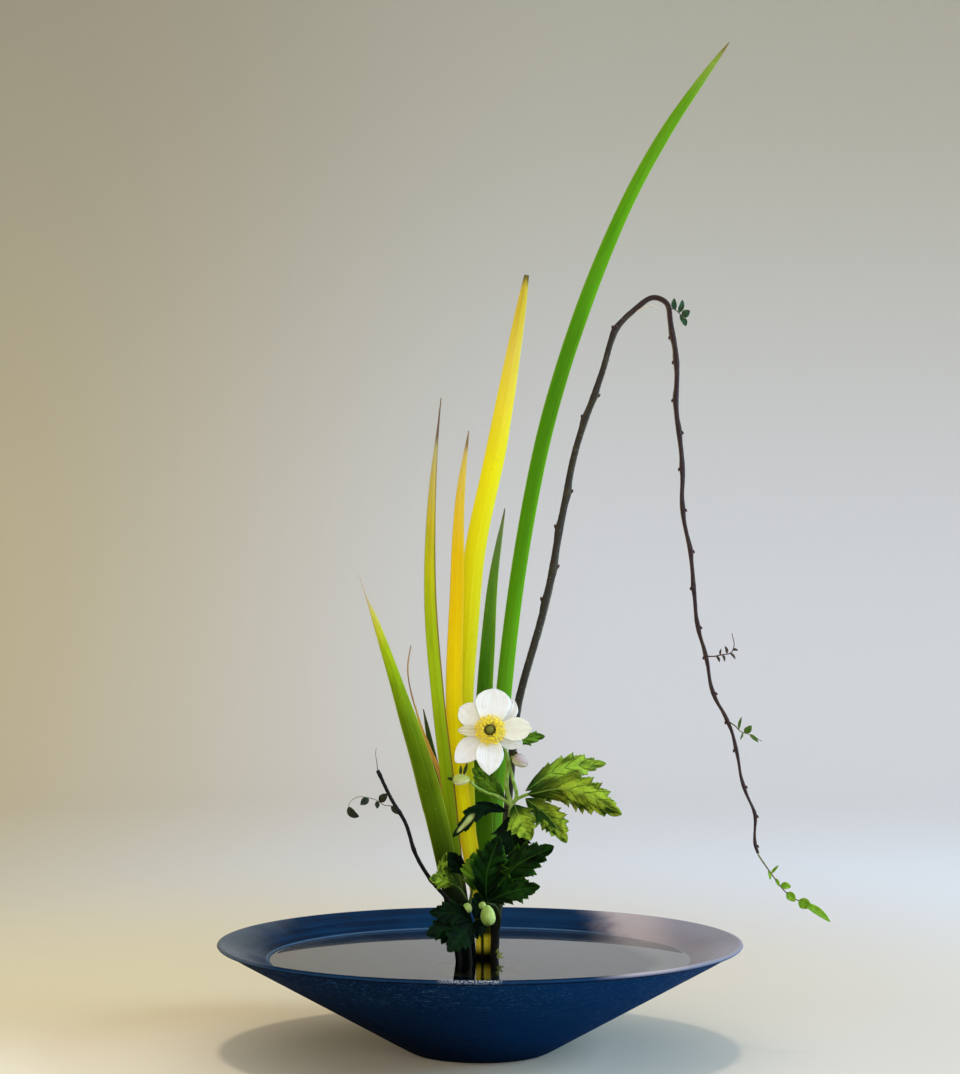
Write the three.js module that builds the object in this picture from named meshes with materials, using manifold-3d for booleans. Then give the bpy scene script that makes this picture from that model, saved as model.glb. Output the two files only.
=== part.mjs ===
// An ikebana arrangement in a wide, shallow bowl, in the moribana manner.
// Millimetres, +Z up. The origin is the centre of the bowl's flat foot, and the front looks along -Y.
//
// A round lead-and-brass pin holder (kenzan) stands on the bowl's floor under water. On it stand
// eight iris leaves, a long branch that arches over and hangs down on the right, a short dark
// branch on the left, and Japanese anemone stems with one open flower, buds and leaves.
// Every stem and leaf is a section swept along its own spine, from its foot to its tip.
import * as THREE from 'three';
import { mergeVertices } from 'three/addons/utils/BufferGeometryUtils.js';
import Module from 'manifold-3d';

const wasm = await Module();
wasm.setup();

// ---- driving dimensions ----
const GAP = 0.3; // between pieces that rest on, stand in or are cut round each other

const BOWL_RADIUS = 175; // to the outside of the lip
const BOWL_HEIGHT = 74; // to the top of the lip
const BOWL_FOOT_RADIUS = 44;
const BOWL_FLOOR = 7; // thickness of the floor
const BOWL_FLARE = 1.79; // the outside wall runs out this much for each millimetre up
const BOWL_SIDES = 60;
const LIP_HEIGHT = 9; // the lip leaves the straight wall this far under its top
const WATER_TOP = 62.5;
const WATER_RADIUS = 139.8; // of the bowl's inside, at the water's surface
const WATER_CLEAR = 0.7; // between the water and the glaze, measured level

const KENZAN_RADIUS = 33;
const KENZAN_BASE_TOP = BOWL_FLOOR + GAP + 7;
const KENZAN_PLATE_TOP = KENZAN_BASE_TOP + GAP + 0.8;
const KENZAN_PIN_TOP = KENZAN_PLATE_TOP + 12;
const PIN_SPACING = 6.2;
const PIN_RADIUS = 0.7;
const FOOT = KENZAN_PLATE_TOP + GAP; // height at which every stem's cut foot stands

const part = new THREE.Group();

// ---- colours ----
const LOOKS = {
  glaze: { color: 0x12305f, roughness: 0.35, metalness: 0 },
  water: { color: 0x9a9a90, roughness: 0.05, metalness: 0, transparent: true, opacity: 0.4 },
  lead: { color: 0x55585a, roughness: 0.6, metalness: 0.6 },
  brass: { color: 0xb08d3c, roughness: 0.35, metalness: 1 },
  greenLeaf: { color: 0x5a9a12, roughness: 0.45, metalness: 0 },
  limeLeaf: { color: 0xa9bd16, roughness: 0.45, metalness: 0 },
  yellowLeaf: { color: 0xf0df12, roughness: 0.45, metalness: 0 },
  amberLeaf: { color: 0xeaba1f, roughness: 0.5, metalness: 0 },
  tanLeaf: { color: 0xc29a62, roughness: 0.75, metalness: 0 },
  deepLeaf: { color: 0x123a14, roughness: 0.5, metalness: 0 },
  midLeaf: { color: 0x3f7a1c, roughness: 0.5, metalness: 0 },
  bark: { color: 0x3a2e2c, roughness: 0.8, metalness: 0 },
  darkBark: { color: 0x15100f, roughness: 0.75, metalness: 0 },
  stalk: { color: 0x4f7a2a, roughness: 0.55, metalness: 0 },
  petal: { color: 0xf6f4e8, roughness: 0.6, metalness: 0 },
  pollen: { color: 0xf0cc2a, roughness: 0.7, metalness: 0 },
  heart: { color: 0x6f7a22, roughness: 0.7, metalness: 0 },
  bud: { color: 0xcfd3a0, roughness: 0.55, metalness: 0 },
};

function addPiece(name, look, geometry, parent = part) {
  geometry.computeVertexNormals();
  const mesh = new THREE.Mesh(geometry, new THREE.MeshStandardMaterial(LOOKS[look]));
  mesh.name = name;
  parent.add(mesh);
  return mesh;
}

// ---- joining and cutting ----
function bare(geometry) {
  const copy = geometry.clone();
  copy.deleteAttribute('normal');
  copy.deleteAttribute('uv');
  return mergeVertices(copy, 1e-4);
}

function solid(geometry) {
  const shape = bare(geometry);
  return new wasm.Manifold(new wasm.Mesh({
    numProp: 3,
    vertProperties: new Float32Array(shape.attributes.position.array),
    triVerts: new Uint32Array(shape.index.array),
  }));
}

function geometryOf(manifold) {
  const mesh = manifold.getMesh();
  const geometry = new THREE.BufferGeometry();
  geometry.setAttribute('position', new THREE.BufferAttribute(mesh.vertProperties, 3));
  geometry.setIndex(new THREE.BufferAttribute(mesh.triVerts, 1));
  return geometry;
}

function join(pieces) {
  return geometryOf(pieces.map(solid).reduce((whole, piece) => whole.add(piece)));
}

function cut(piece, tools) {
  return geometryOf(tools.map(solid).reduce((left, tool) => left.subtract(tool), solid(piece)));
}

// ---- sweeping a section along a spine ----

// a value that runs straight from stop to stop; each stop is [how far along, value]
function along(stops) {
  return (t) => {
    let next = stops.findIndex(([at]) => at >= t);
    if (next < 0) next = stops.length - 1;
    if (next === 0) return stops[0][1];
    const [t0, v0] = stops[next - 1];
    const [t1, v1] = stops[next];
    return v0 + ((v1 - v0) * (t - t0)) / (t1 - t0);
  };
}

const steady = (value) => () => value;

function spineOf(points) {
  return new THREE.CatmullRomCurve3(points.map((p) => new THREE.Vector3(...p)), false, 'centripetal');
}

// A closed cylinder whose rings are carried along the spine. `width` is the full size across the
// section, `depth` the full size through it, `face` the way its broad side looks, `turn` degrees.
function sweep({ points, width, depth, sides = 6, steps, face = [0, -1, 0], turn = steady(0) }) {
  const spine = spineOf(points);
  const geometry = new THREE.CylinderGeometry(1, 1, 1, sides, steps);
  const position = geometry.attributes.position;
  const look = new THREE.Vector3(...face);
  const corner = new THREE.Vector3();
  const across = new THREE.Vector3();
  for (let i = 0; i < position.count; i += 1) {
    corner.fromBufferAttribute(position, i);
    const t = THREE.MathUtils.clamp(corner.y + 0.5, 0, 1);
    const tangent = spine.getTangentAt(t);
    across.crossVectors(look, tangent).normalize();
    across.applyAxisAngle(tangent, THREE.MathUtils.degToRad(turn(t)));
    const through = new THREE.Vector3().crossVectors(tangent, across);
    const place = spine.getPointAt(t);
    place.addScaledVector(across, (corner.z * width(t)) / 2);
    place.addScaledVector(through, (corner.x * depth(t)) / 2);
    position.setXYZ(i, place.x, place.y, place.z);
  }
  return bare(geometry);
}

// a round stem that tapers evenly from one diameter to another
function stem(points, start, end, { sides = 6, steps, grow = 0 } = {}) {
  const size = along([[0, start + 2 * grow], [1, end + 2 * grow]]);
  return sweep({ points, width: size, depth: size, sides, steps: steps ?? 4 * points.length });
}

// ---- bowl, water and pin holder ----

const outside = (z) => BOWL_FOOT_RADIUS + 1.1 + BOWL_FLARE * z;

// the inside of the bowl from the lip down to the floor, as [radius, height]
const INSIDE = [
  [BOWL_RADIUS - 1.5, BOWL_HEIGHT],
  [BOWL_RADIUS - 5, BOWL_HEIGHT - 0.8],
  [BOWL_RADIUS - 18, BOWL_HEIGHT - 4.4],
  [WATER_RADIUS, WATER_TOP],
  [WATER_RADIUS - 9, WATER_TOP - 4],
  [116, 48],
  [86, 32],
  [52, 11.6],
  [47.4, BOWL_FLOOR + 1.6],
  [43, BOWL_FLOOR],
];

function turned(profile) {
  return bare(new THREE.LatheGeometry(profile.map(([r, z]) => new THREE.Vector2(r, z)), BOWL_SIDES))
    .rotateX(Math.PI / 2);
}

// a straight flared wall that bends outwards into a thin lip, with a wide sloping band inside it
function makeBowl() {
  const lipBottom = BOWL_HEIGHT - LIP_HEIGHT;
  return turned([
    [0, 0],
    [BOWL_FOOT_RADIUS, 0],
    [outside(0.9), 0.9],
    [outside(lipBottom), lipBottom],
    [BOWL_RADIUS - 6, BOWL_HEIGHT - 4.6],
    [BOWL_RADIUS - 0.6, BOWL_HEIGHT - 2.2],
    [BOWL_RADIUS, BOWL_HEIGHT - 0.9],
    ...INSIDE,
    [0, BOWL_FLOOR],
  ]);
}

function makeWater(stemTools) {
  const bed = INSIDE.filter(([, z]) => z <= WATER_TOP).map(([r, z]) => [r - WATER_CLEAR, z]).reverse();
  const body = turned([
    [0, BOWL_FLOOR + GAP],
    [bed[0][0], BOWL_FLOOR + GAP],
    ...bed.slice(1),
    [0, WATER_TOP],
  ]);
  const top = KENZAN_PIN_TOP + GAP;
  const pocket = new THREE.CylinderGeometry(KENZAN_RADIUS + GAP, KENZAN_RADIUS + GAP, top, 32)
    .rotateX(Math.PI / 2)
    .translate(0, 0, top / 2);
  return cut(body, [pocket, ...stemTools]);
}

function makeKenzanBase() {
  const bottom = BOWL_FLOOR + GAP;
  const height = KENZAN_BASE_TOP - bottom;
  return bare(new THREE.CylinderGeometry(KENZAN_RADIUS - 0.8, KENZAN_RADIUS, height, 32))
    .rotateX(Math.PI / 2)
    .translate(0, 0, bottom + height / 2);
}

// Pins in a hexagonal pattern on a thin plate. A pin that would stand inside a stem's foot, where
// the stem is spiked on it, is left out, so that every stem stands clear among the others.
function makeKenzanPins(feet) {
  const radius = KENZAN_RADIUS - 1.6;
  const plateBottom = KENZAN_BASE_TOP + GAP;
  const thickness = KENZAN_PLATE_TOP - plateBottom;
  const pieces = [
    new THREE.CylinderGeometry(radius, radius, thickness, 32)
      .rotateX(Math.PI / 2)
      .translate(0, 0, plateBottom + thickness / 2),
  ];
  const rows = Math.floor(radius / (PIN_SPACING * 0.866));
  const height = KENZAN_PIN_TOP - plateBottom - thickness / 2;
  for (let row = -rows; row <= rows; row += 1) {
    const y = row * PIN_SPACING * 0.866;
    const shift = row % 2 ? PIN_SPACING / 2 : 0;
    for (let column = -rows - 1; column <= rows + 1; column += 1) {
      const x = column * PIN_SPACING + shift;
      if (Math.hypot(x, y) > radius - 2) continue;
      if (feet.some((foot) => foot.covers(x, y))) continue;
      pieces.push(new THREE.CylinderGeometry(0.2, PIN_RADIUS, height, 4)
        .rotateX(Math.PI / 2)
        .translate(x, y, KENZAN_PIN_TOP - height / 2));
    }
  }
  return join(pieces);
}

// the patch of the pin holder that a stem covers, from its plate to the tops of the pins
function footOf({ points, reach, thick }) {
  const spine = spineOf(points);
  const low = spine.getPointAt(0);
  const high = spine.getPointAt(Math.min(1, (KENZAN_PIN_TOP - FOOT + 4) / spine.getLength()));
  const clear = PIN_RADIUS + GAP + 0.3;
  return {
    covers: (x, y) => [low, high, low.clone().lerp(high, 0.5)].some(
      (p) => Math.abs(x - p.x) < reach / 2 + clear && Math.abs(y - p.y) < thick / 2 + clear,
    ),
  };
}

// ---- iris leaves ----
// Each spine runs from the foot on the pin holder to the tip. Widths are the full width of the
// leaf, and turn is how far its broad side is turned away from the front.
const IRIS_LEAVES = {
  iris_tall_green: {
    look: 'greenLeaf',
    points: [
      [8, 13, FOOT], [7, 13, 58], [10, 16, 146.5], [16.5, 20, 240], [28.5, 25, 334], [46.5, 31, 422.5],
      [72.5, 38, 504], [101.5, 44, 573], [128, 49, 621], [152, 53, 656.5], [171, 56, 682.5],
    ],
    width: [
      [0, 9], [0.2, 10.6], [0.42, 11.4], [0.58, 12], [0.7, 11.6], [0.8, 9.6], [0.88, 8.8], [0.94, 6.6],
      [0.975, 4.2], [1, 0.6],
    ],
    turn: [[0, 12], [0.3, 20], [0.7, 22], [1, 16]],
    steps: 30,
  },
  iris_tall_yellow: {
    look: 'yellowLeaf',
    points: [
      [6, 7, FOOT], [6.4, 7, 67], [3.6, 7, 92], [-4, 7, 133], [-8.5, 8, 167.5], [-11, 9, 233.5],
      [-8.5, 10, 274.5], [-3, 12, 334], [11, 14, 401.5], [23, 17, 469], [31.5, 19, 519.5],
    ],
    width: [
      [0, 6], [0.12, 6.4], [0.22, 11.6], [0.3, 13], [0.55, 14.4], [0.77, 14], [0.85, 12], [0.925, 8.8],
      [0.98, 5.4], [1, 3],
    ],
    turn: [[0, 6], [0.5, 14], [1, 10]],
    steps: 22,
  },
  iris_amber: {
    look: 'amberLeaf',
    points: [
      [1.4, -2.9, FOOT], [2.2, -2.9, 64.5], [1.2, -3.2, 90], [-6.5, -4, 134.5], [-13.8, -5, 178.5],
      [-17.4, -6, 234.5], [-15.8, -8, 301], [-13.4, -10, 368], [-7.5, -12, 413.5],
    ],
    width: [
      [0, 9], [0.14, 10], [0.24, 10.8], [0.32, 11.8], [0.5, 12], [0.68, 10.6], [0.8, 8.8], [0.9, 6],
      [0.96, 3], [1, 0.6],
    ],
    turn: [[0, -6], [0.6, -16], [1, -24]],
    steps: 20,
  },
  iris_lime: {
    look: 'limeLeaf',
    points: [
      [-7.4, -9.5, FOOT], [-5.8, -9.5, 60], [-15, -12, 122.5], [-21.4, -15, 182.5], [-27.4, -18, 235],
      [-32.5, -22, 301.5], [-31.5, -26, 367.5], [-27, -29, 420], [-25.5, -30, 434.5],
    ],
    width: [[0, 6.5], [0.3, 9], [0.6, 9.8], [0.76, 7.8], [0.87, 4.6], [0.94, 1.8], [1, 0.6]],
    turn: [[0, 4], [0.5, 20], [1, 30]],
    steps: 20,
  },
  iris_short_green: {
    look: 'greenLeaf',
    points: [
      [8.6, 1.5, FOOT], [7.8, 1.5, 60], [3.4, 0, 134], [1.5, -2, 201], [3, -4, 241], [4.8, -6, 268],
      [8.8, -9, 316], [16.5, -13, 362],
    ],
    width: [[0, 8], [0.4, 11.6], [0.6, 11.8], [0.74, 9.8], [0.86, 6.6], [0.94, 3.8], [1, 0.6]],
    turn: [[0, -4], [0.6, -14], [1, -18]],
    steps: 18,
  },
  iris_left_green: {
    look: 'midLeaf',
    points: [
      [-12, -15, FOOT], [-10.5, -15.5, 62.5], [-22.5, -19, 130.5], [-35, -26, 183.5], [-51, -34, 236],
      [-68.5, -44, 289.5], [-75, -48, 307],
    ],
    width: [[0, 8], [0.3, 14], [0.55, 14.6], [0.7, 11.6], [0.85, 7.4], [0.94, 4.2], [1, 0.8]],
    turn: [[0, 4], [0.5, 14], [1, 20]],
    steps: 18,
  },
  iris_withered: {
    look: 'tanLeaf',
    points: [
      [-17, -4, FOOT], [-14, -4, 60.5], [-19, -7, 130], [-25.5, -11, 183], [-33, -13, 202],
      [-40, -15, 221], [-43.5, -17, 233], [-47, -18, 248], [-47.6, -19, 258], [-45.6, -20, 271.6],
    ],
    width: [[0, 3], [0.4, 4.4], [0.72, 5.4], [0.8, 5.8], [0.86, 3.4], [0.89, 1.4], [0.95, 1.4], [1, 0.7]],
    turn: [[0, 0], [1, 30]],
    steps: 16,
  },
  iris_small_dark: {
    look: 'deepLeaf',
    points: [
      [-15, 6, FOOT], [-12, 6, 59], [-23, 8, 153], [-27.6, 9, 177], [-34, 11, 208], [-38, 12, 227.5],
    ],
    width: [[0, 4], [0.5, 6.4], [0.8, 6], [0.93, 3.4], [1, 0.6]],
    turn: [[0, 0], [1, 16]],
    steps: 12,
  },
};

// a leaf is thickest at its foot, and thinner where it is narrow
const LEAF_DEPTH = along([[0, 2.4], [1, 0.9]]);

function irisLeaf({ points, width, turn, steps }, grow = 0) {
  const size = along(width);
  return sweep({
    points,
    steps,
    width: (t) => size(t) + 2 * grow,
    depth: (t) => LEAF_DEPTH(t) * Math.min(1, size(t) / 3 + 0.2) + 2 * grow,
    turn: along(turn),
  });
}

// ---- the long branch and its leaf sprays ----
const BRANCH_RISE = [
  [9.4, -6, FOOT], [9.8, -6, 72], [12.6, -6, 102], [19, -3, 168.5], [24, 2, 221], [27, 4, 238],
  [44.5, 11, 301], [53.5, 16, 348], [57.5, 18, 368], [64.5, 21, 401.5], [82, 25, 452.5], [92.5, 28, 484],
  [106.5, 30, 498.5],
];
const BRANCH_FALL = [
  [116, 31, 505], [122, 31, 504.5], [127, 30, 500.5], [129, 28, 488], [133, 26, 461.5], [132.5, 23, 429],
  [136.5, 20, 390.5], [136, 17, 362], [141, 14, 334], [143.5, 10, 309], [145.5, 6, 283], [151, 2, 264],
  [155, -3, 239], [164.5, -6, 221.5], [170, -9, 203.5], [174, -12, 179], [181.5, -15, 159.5],
  [181.5, -17, 140], [183.5, -18, 134],
];
const BRANCH = [...BRANCH_RISE, ...BRANCH_FALL];
const FOOT_REACH = { branch: 6, leaf: 10, leafThick: 3.4, stem: 3.6 }; // ground that each foot covers
const BRANCH_SIZE = [[0, 5.8], [0.3, 5.2], [0.5, 4.2], [0.6, 3.6], [0.75, 2.8], [0.88, 2.2], [1, 1.4]];
const TIP_STEM = [[183.8, -18, 133.3], [190, -19, 124], [203, -21, 107.5], [214.5, -22, 101]];

function branchShape(grow = 0) {
  const size = along(BRANCH_SIZE);
  const thick = (t) => size(t) + 2 * grow;
  return sweep({ points: BRANCH, width: thick, depth: thick, sides: 7, steps: 58 });
}

// a small closed leaf from its foot to its tip
function leaflet(from, to, width, { face = [0, -1, 0], bow = 0, depth = 0.9 } = {}) {
  const start = new THREE.Vector3(...from);
  const end = new THREE.Vector3(...to);
  const side = new THREE.Vector3(...face).cross(end.clone().sub(start)).normalize();
  const middle = start.clone().lerp(end, 0.5).addScaledVector(side, bow);
  return sweep({
    points: [from, middle.toArray(), to],
    width: along([[0, 0.7], [0.3, width * 0.9], [0.6, width], [0.85, width * 0.6], [1, 0.5]]),
    depth: along([[0, 0.7], [0.5, depth], [1, 0.5]]),
    sides: 4,
    steps: 4,
    face,
  });
}

function makeSprayBend() {
  return join([
    stem([[130.9, 28, 497.3], [134, 26, 495], [138, 24, 490]], 0.9, 0.7, { steps: 4 }),
    leaflet([132, 27.3, 496.7], [131.4, 25.6, 504.4], 3),
    leaflet([134.4, 25.8, 494.7], [136.7, 23.6, 503.2], 3),
    leaflet([136.6, 24.8, 492], [141.6, 22.4, 495.8], 5),
    leaflet([137.3, 24.4, 491], [139, 22.4, 485.2], 3),
  ]);
}

function makeTwigMiddle() {
  const stalk = [
    [152.3, 1.4, 263.4], [156, 0, 263.4], [161, -2, 264.5], [167, -4, 266], [169, -5, 270.5],
    [167.5, -6, 279],
  ];
  return join([
    stem(stalk, 1, 0.6, { sides: 5, steps: 9 }),
    leaflet([157.6, -0.6, 263.7], [159.6, -1.6, 259.6], 1.6),
    leaflet([161.4, -2, 264.6], [162.8, -3, 260], 1.6),
    leaflet([164.4, -3, 265.4], [163, -4, 270.4], 1.8),
    leaflet([168, -4.4, 268], [171.6, -5.6, 267.6], 1.6),
    leaflet([166.4, -3.8, 265.8], [169.8, -5, 261.6], 1.6),
  ]);
}

function makeTwigLower() {
  const stalk = [
    [166.3, -6.8, 219.7], [169.5, -8, 217.5], [173, -9, 214], [180, -10, 211.5], [187, -11, 207.5],
  ];
  return join([
    stem(stalk, 0.9, 0.6, { sides: 5, steps: 6 }),
    leaflet([171.8, -8.6, 215.4], [173.6, -9.4, 223.6], 1.8),
    leaflet([175.6, -9.4, 213], [180, -11, 218], 5),
    leaflet([174.4, -9.2, 213.4], [172.6, -10, 208.6], 1.4),
  ]);
}

function makeSprayTip() {
  return join([
    stem(TIP_STEM, 1.1, 0.8, { sides: 5, steps: 7 }),
    leaflet([190.6, -19, 123.2], [191.4, -20.6, 116.8], 2),
    leaflet([192.4, -19.4, 121], [197, -21, 126.4], 1.8),
    leaflet([195, -19.8, 117.6], [197.4, -21.4, 112.6], 2.2),
    leaflet([198.4, -20.2, 113.2], [205, -22.4, 112.4], 4.6),
    leaflet([202.4, -20.8, 108.4], [207.6, -22.8, 102.8], 5.6),
    leaflet([210, -21.6, 103.2], [217.8, -23.4, 98.8], 7.4),
    leaflet([213.4, -21.9, 101.7], [230.6, -24.6, 89.6], 5, { bow: 1 }),
  ]);
}

// ---- the short dark branch ----
const SHORT_BRANCH = [
  [-14, -21, FOOT], [-12.5, -21.5, 58.5], [-19.5, -23.5, 101.5], [-26.5, -25.5, 110.5],
  [-32.5, -28, 118], [-42, -35, 135], [-48.5, -44, 156.5], [-57.5, -52, 173], [-66, -60, 192],
];
const SHORT_SIZE = { foot: 4.4, tip: 3.2, steps: 20 };

function shortBranch(grow = 0) {
  return stem(SHORT_BRANCH, SHORT_SIZE.foot, SHORT_SIZE.tip, { steps: SHORT_SIZE.steps, grow });
}

function makeTwigCurled() {
  const stalk = [
    [-56.4, -54.2, 168.6], [-58.5, -55.6, 169], [-62, -57, 169.5], [-66, -59, 172.5], [-71, -62, 174.5],
    [-78.5, -65, 175.5], [-83.5, -66, 172.5], [-85, -66, 168],
  ];
  return join([
    stem(stalk, 0.7, 0.6, { sides: 5, steps: 14 }),
    leaflet([-57.4, -54.9, 168.8], [-53, -57, 163.6], 3.2, { depth: 0.8 }),
    leaflet([-65, -58.4, 171.8], [-60, -60, 177.2], 5, { depth: 0.8 }),
    leaflet([-72, -62.4, 174.7], [-77, -64.4, 170.4], 4.6, { depth: 0.8 }),
    leaflet([-84.7, -66, 169.2], [-77.8, -67, 163], 5, { bow: -1.4, depth: 0.8 }),
  ]);
}

// ---- anemone: stems and leaf stalks ----
const FLOWER_CENTRE = [6.6, -32, 215.7];
const FORK = [21, -22, 166];
const MAIN_STEM = [[7, -17, FOOT], [10, -18, 60], [12.6, -19, 95], [15.2, -20, 122], [18, -21, 145], FORK];
const LOW_STEM = [[-3, -22, FOOT], [-6, -23, 60], [-7.4, -24, 90], [-5, -25, 112], [0, -26, 128]];
const FLOWER_STALK = [
  FORK, [17.6, -21, 177], [18, -21, 198], [12.6, -21, 209], [7.6, -23.5, 214], [6.5, -28.9, 214.8],
];
const RIGHT_BUD_STALK = [FORK, [24, -23, 172], [21.6, -24, 184], [19.6, -25.6, 194], [20.4, -26.4, 197.8]];
const LEFT_BUD_STALK = [FORK, [12, -23, 172], [4.6, -25, 174.6], [-3, -27, 179], [-6, -28, 182.2]];
const LOW_BUD_STALK = [[11.6, -18.6, 82], [13, -22, 92], [10, -25.4, 100.4], [7.4, -26.8, 102]];

function mainStem(grow = 0) {
  return stem(MAIN_STEM, 3.4, 2.6, { steps: 16, grow });
}

function lowStem(grow = 0) {
  return stem(LOW_STEM, 3, 1.6, { steps: 14, grow });
}

function makeMainStem() {
  return join([
    mainStem(),
    stem(FLOWER_STALK, 2.6, 2, { steps: 14 }),
    stem(RIGHT_BUD_STALK, 2, 1.4, { steps: 10 }),
    stem(LEFT_BUD_STALK, 2, 1.5, { steps: 10 }),
    stem([FORK, [24, -23, 170], [29, -24, 173]], 2, 1.7, { steps: 4 }),
    stem([[12.3, -19, 92], [10, -24, 99], [5.4, -30, 103.4]], 1.6, 1.4, { steps: 5 }),
    stem(LOW_BUD_STALK, 1.5, 1.3, { steps: 8 }),
  ]);
}

function makeLowStem() {
  return join([
    lowStem(),
    stem([[-7.2, -23.8, 84], [-10.4, -25.6, 91], [-9, -27.4, 95.2]], 1.5, 1.3, { steps: 5 }),
    stem([[-7, -23.6, 78], [-7.2, -27, 86], [-4.8, -30, 89.8]], 1.6, 1.4, { steps: 5 }),
    stem([[-7, -24.4, 102], [-12, -26, 110], [-14.4, -27, 113]], 1.4, 1.2, { steps: 5 }),
  ]);
}

// ---- anemone: the open flower, built about its own axis and turned to the front ----
const TEPALS = [
  { turn: 0, length: 27.4, width: 16 },
  { turn: 49, length: 25.4, width: 15 },
  { turn: 81, length: 27, width: 21 },
  { turn: 137, length: 25.5, width: 17 },
  { turn: 177, length: 21.5, width: 8 },
  { turn: 219, length: 30, width: 16.5 },
  { turn: 266, length: 30, width: 19 },
  { turn: 333, length: 23.5, width: 13 },
];
const TEPAL_LAYERS = [0.9, -1.4]; // every second tepal stands in front of its neighbours

function tepal({ length, width }, layer) {
  const rise = [[4.4, 0], [length * 0.4, 0.3], [length * 0.75, 0.9], [length, 0]];
  const foot = Math.min(5, width * 0.6);
  return sweep({
    points: rise.map(([out, up]) => [out, 0, layer + up]),
    width: along([[0, foot], [0.35, width * 0.78], [0.65, width], [0.85, width * 0.8], [1, 3]]),
    depth: along([[0, 1], [1, 0.7]]),
    face: [0, 0, 1],
    steps: 7,
  });
}

function lathed(profile, sides) {
  return bare(new THREE.LatheGeometry(profile.map(([r, z]) => new THREE.Vector2(r, z)), sides))
    .rotateX(Math.PI / 2);
}

function addFlower() {
  const flower = new THREE.Group();
  flower.position.set(...FLOWER_CENTRE);
  flower.rotation.set(THREE.MathUtils.degToRad(74), 0, THREE.MathUtils.degToRad(3));
  part.add(flower);
  TEPALS.forEach((size, i) => {
    addPiece(`tepal_${i + 1}`, 'petal', tepal(size, TEPAL_LAYERS[i % 2]), flower)
      .rotation.set(0, 0, THREE.MathUtils.degToRad(size.turn));
  });
  const heart = [[0, -2.2], [2, -2], [3.2, 0], [3.3, 2.6], [2.4, 4.6], [0, 5.4]];
  addPiece('flower_heart', 'heart', lathed(heart, 12), flower);
  const ring = [[3.8, 2.2], [7, 2.4], [9.6, 3.2], [9.4, 4], [6.4, 4.2], [3.8, 4], [3.8, 2.2]];
  addPiece('stamen_ring', 'pollen', lathed(ring, 20), flower);
}

// ---- anemone: buds ----
function bud(name, centre, radius, height, lean) {
  const rings = 6;
  const profile = [];
  for (let i = 0; i <= rings; i += 1) {
    const angle = (Math.PI * i) / rings - Math.PI / 2;
    profile.push([i % rings ? radius * Math.cos(angle) : 0, (height / 2) * Math.sin(angle)]);
  }
  const mesh = addPiece(name, 'bud', lathed(profile, 9));
  mesh.position.set(...centre);
  mesh.rotation.set(0, THREE.MathUtils.degToRad(lean), 0);
}

// ---- anemone: leaves; each lobe is a lens section swept along its midrib ----
const ANEMONE_LEAVES = {
  leaf_right_top: { dark: false, points: [[30, -23, 175.6], [52, -15, 189], [84, 0, 192]], width: 15 },
  leaf_right_middle: { dark: false, points: [[31, -25, 173.6], [58, -36, 178], [92, -52, 163]], width: 20 },
  leaf_right_low: { dark: false, points: [[30, -26, 171], [44, -35, 161], [56.5, -46, 144]], width: 17 },
  leaf_right_fold: { dark: false, points: [[22.6, -27, 167], [27, -34, 157], [33, -41, 145]], width: 20 },
  leaf_by_flower: { dark: false, points: [[22, -18, 205], [31, -16, 209.4], [43, -13, 211]], width: 8 },
  leaf_by_bud: { dark: false, points: [[16, -18, 170], [5, -15.4, 180], [-5, -14, 190]], width: 13 },
  leaf_curled: { dark: true, points: [[17.6, -27, 163], [2, -33, 165], [-18, -39, 147]], width: 10 },
  leaf_dark_upper: { dark: true, points: [[20.4, -26, 160], [21, -30, 148], [23, -33, 131]], width: 22 },
  leaf_striped: { dark: false, points: [[-15, -28, 113.4], [-23, -34, 118], [-33, -40, 120]], width: 11 },
  leaf_round: { dark: true, points: [[-9.6, -27.4, 121], [-15.4, -33, 129], [-20.6, -38, 137]], width: 12 },
  leaf_cluster: { dark: false, points: [[-3.6, -29.5, 111], [-4.6, -34, 122], [-4, -38, 137]], width: 14 },
};

function anemoneLobe(points, width, steps = 7) {
  return sweep({
    points,
    width: along([[0, 1.4], [0.25, width * 0.86], [0.5, width], [0.8, width * 0.6], [1, 0.8]]),
    depth: along([[0, 1], [0.5, 1.3], [1, 0.6]]),
    steps,
  });
}

// the two large dark leaves have several lobes each, grown together at the stalk
function makeLeafDarkLarge() {
  return join([
    anemoneLobe([[4, -31.6, 104.8], [5, -39, 124], [12.5, -44, 148]], 20),
    anemoneLobe([[4.6, -31.8, 104.6], [23, -41, 128], [48, -48, 142]], 20),
    anemoneLobe([[5, -32, 104], [21, -42, 112], [39, -50, 116]], 15),
  ]);
}

function makeLeafDarkLow() {
  return join([
    anemoneLobe([[-5, -31.6, 90.4], [-17, -39, 97], [-33, -46, 99]], 14),
    anemoneLobe([[-5.2, -32, 90], [-18, -41, 88], [-35, -49, 85]], 16),
    anemoneLobe([[-5, -32.2, 89.6], [-13, -43, 82], [-21, -52, 74]], 16),
    anemoneLobe([[-4.4, -32, 90], [0, -40, 88], [6.4, -46, 86.5]], 13),
  ]);
}

// ---- assembly ----
function addIris() {
  for (const [name, leaf] of Object.entries(IRIS_LEAVES)) addPiece(name, leaf.look, irisLeaf(leaf));
}

function addBranches() {
  addPiece('branch_main', 'bark', branchShape());
  addPiece('spray_bend', 'midLeaf', makeSprayBend());
  addPiece('twig_middle', 'deepLeaf', makeTwigMiddle());
  addPiece('twig_lower', 'midLeaf', makeTwigLower());
  addPiece('spray_tip', 'greenLeaf', makeSprayTip());
  addPiece('branch_short', 'darkBark', shortBranch());
  addPiece('twig_curled', 'deepLeaf', makeTwigCurled());
}

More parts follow.
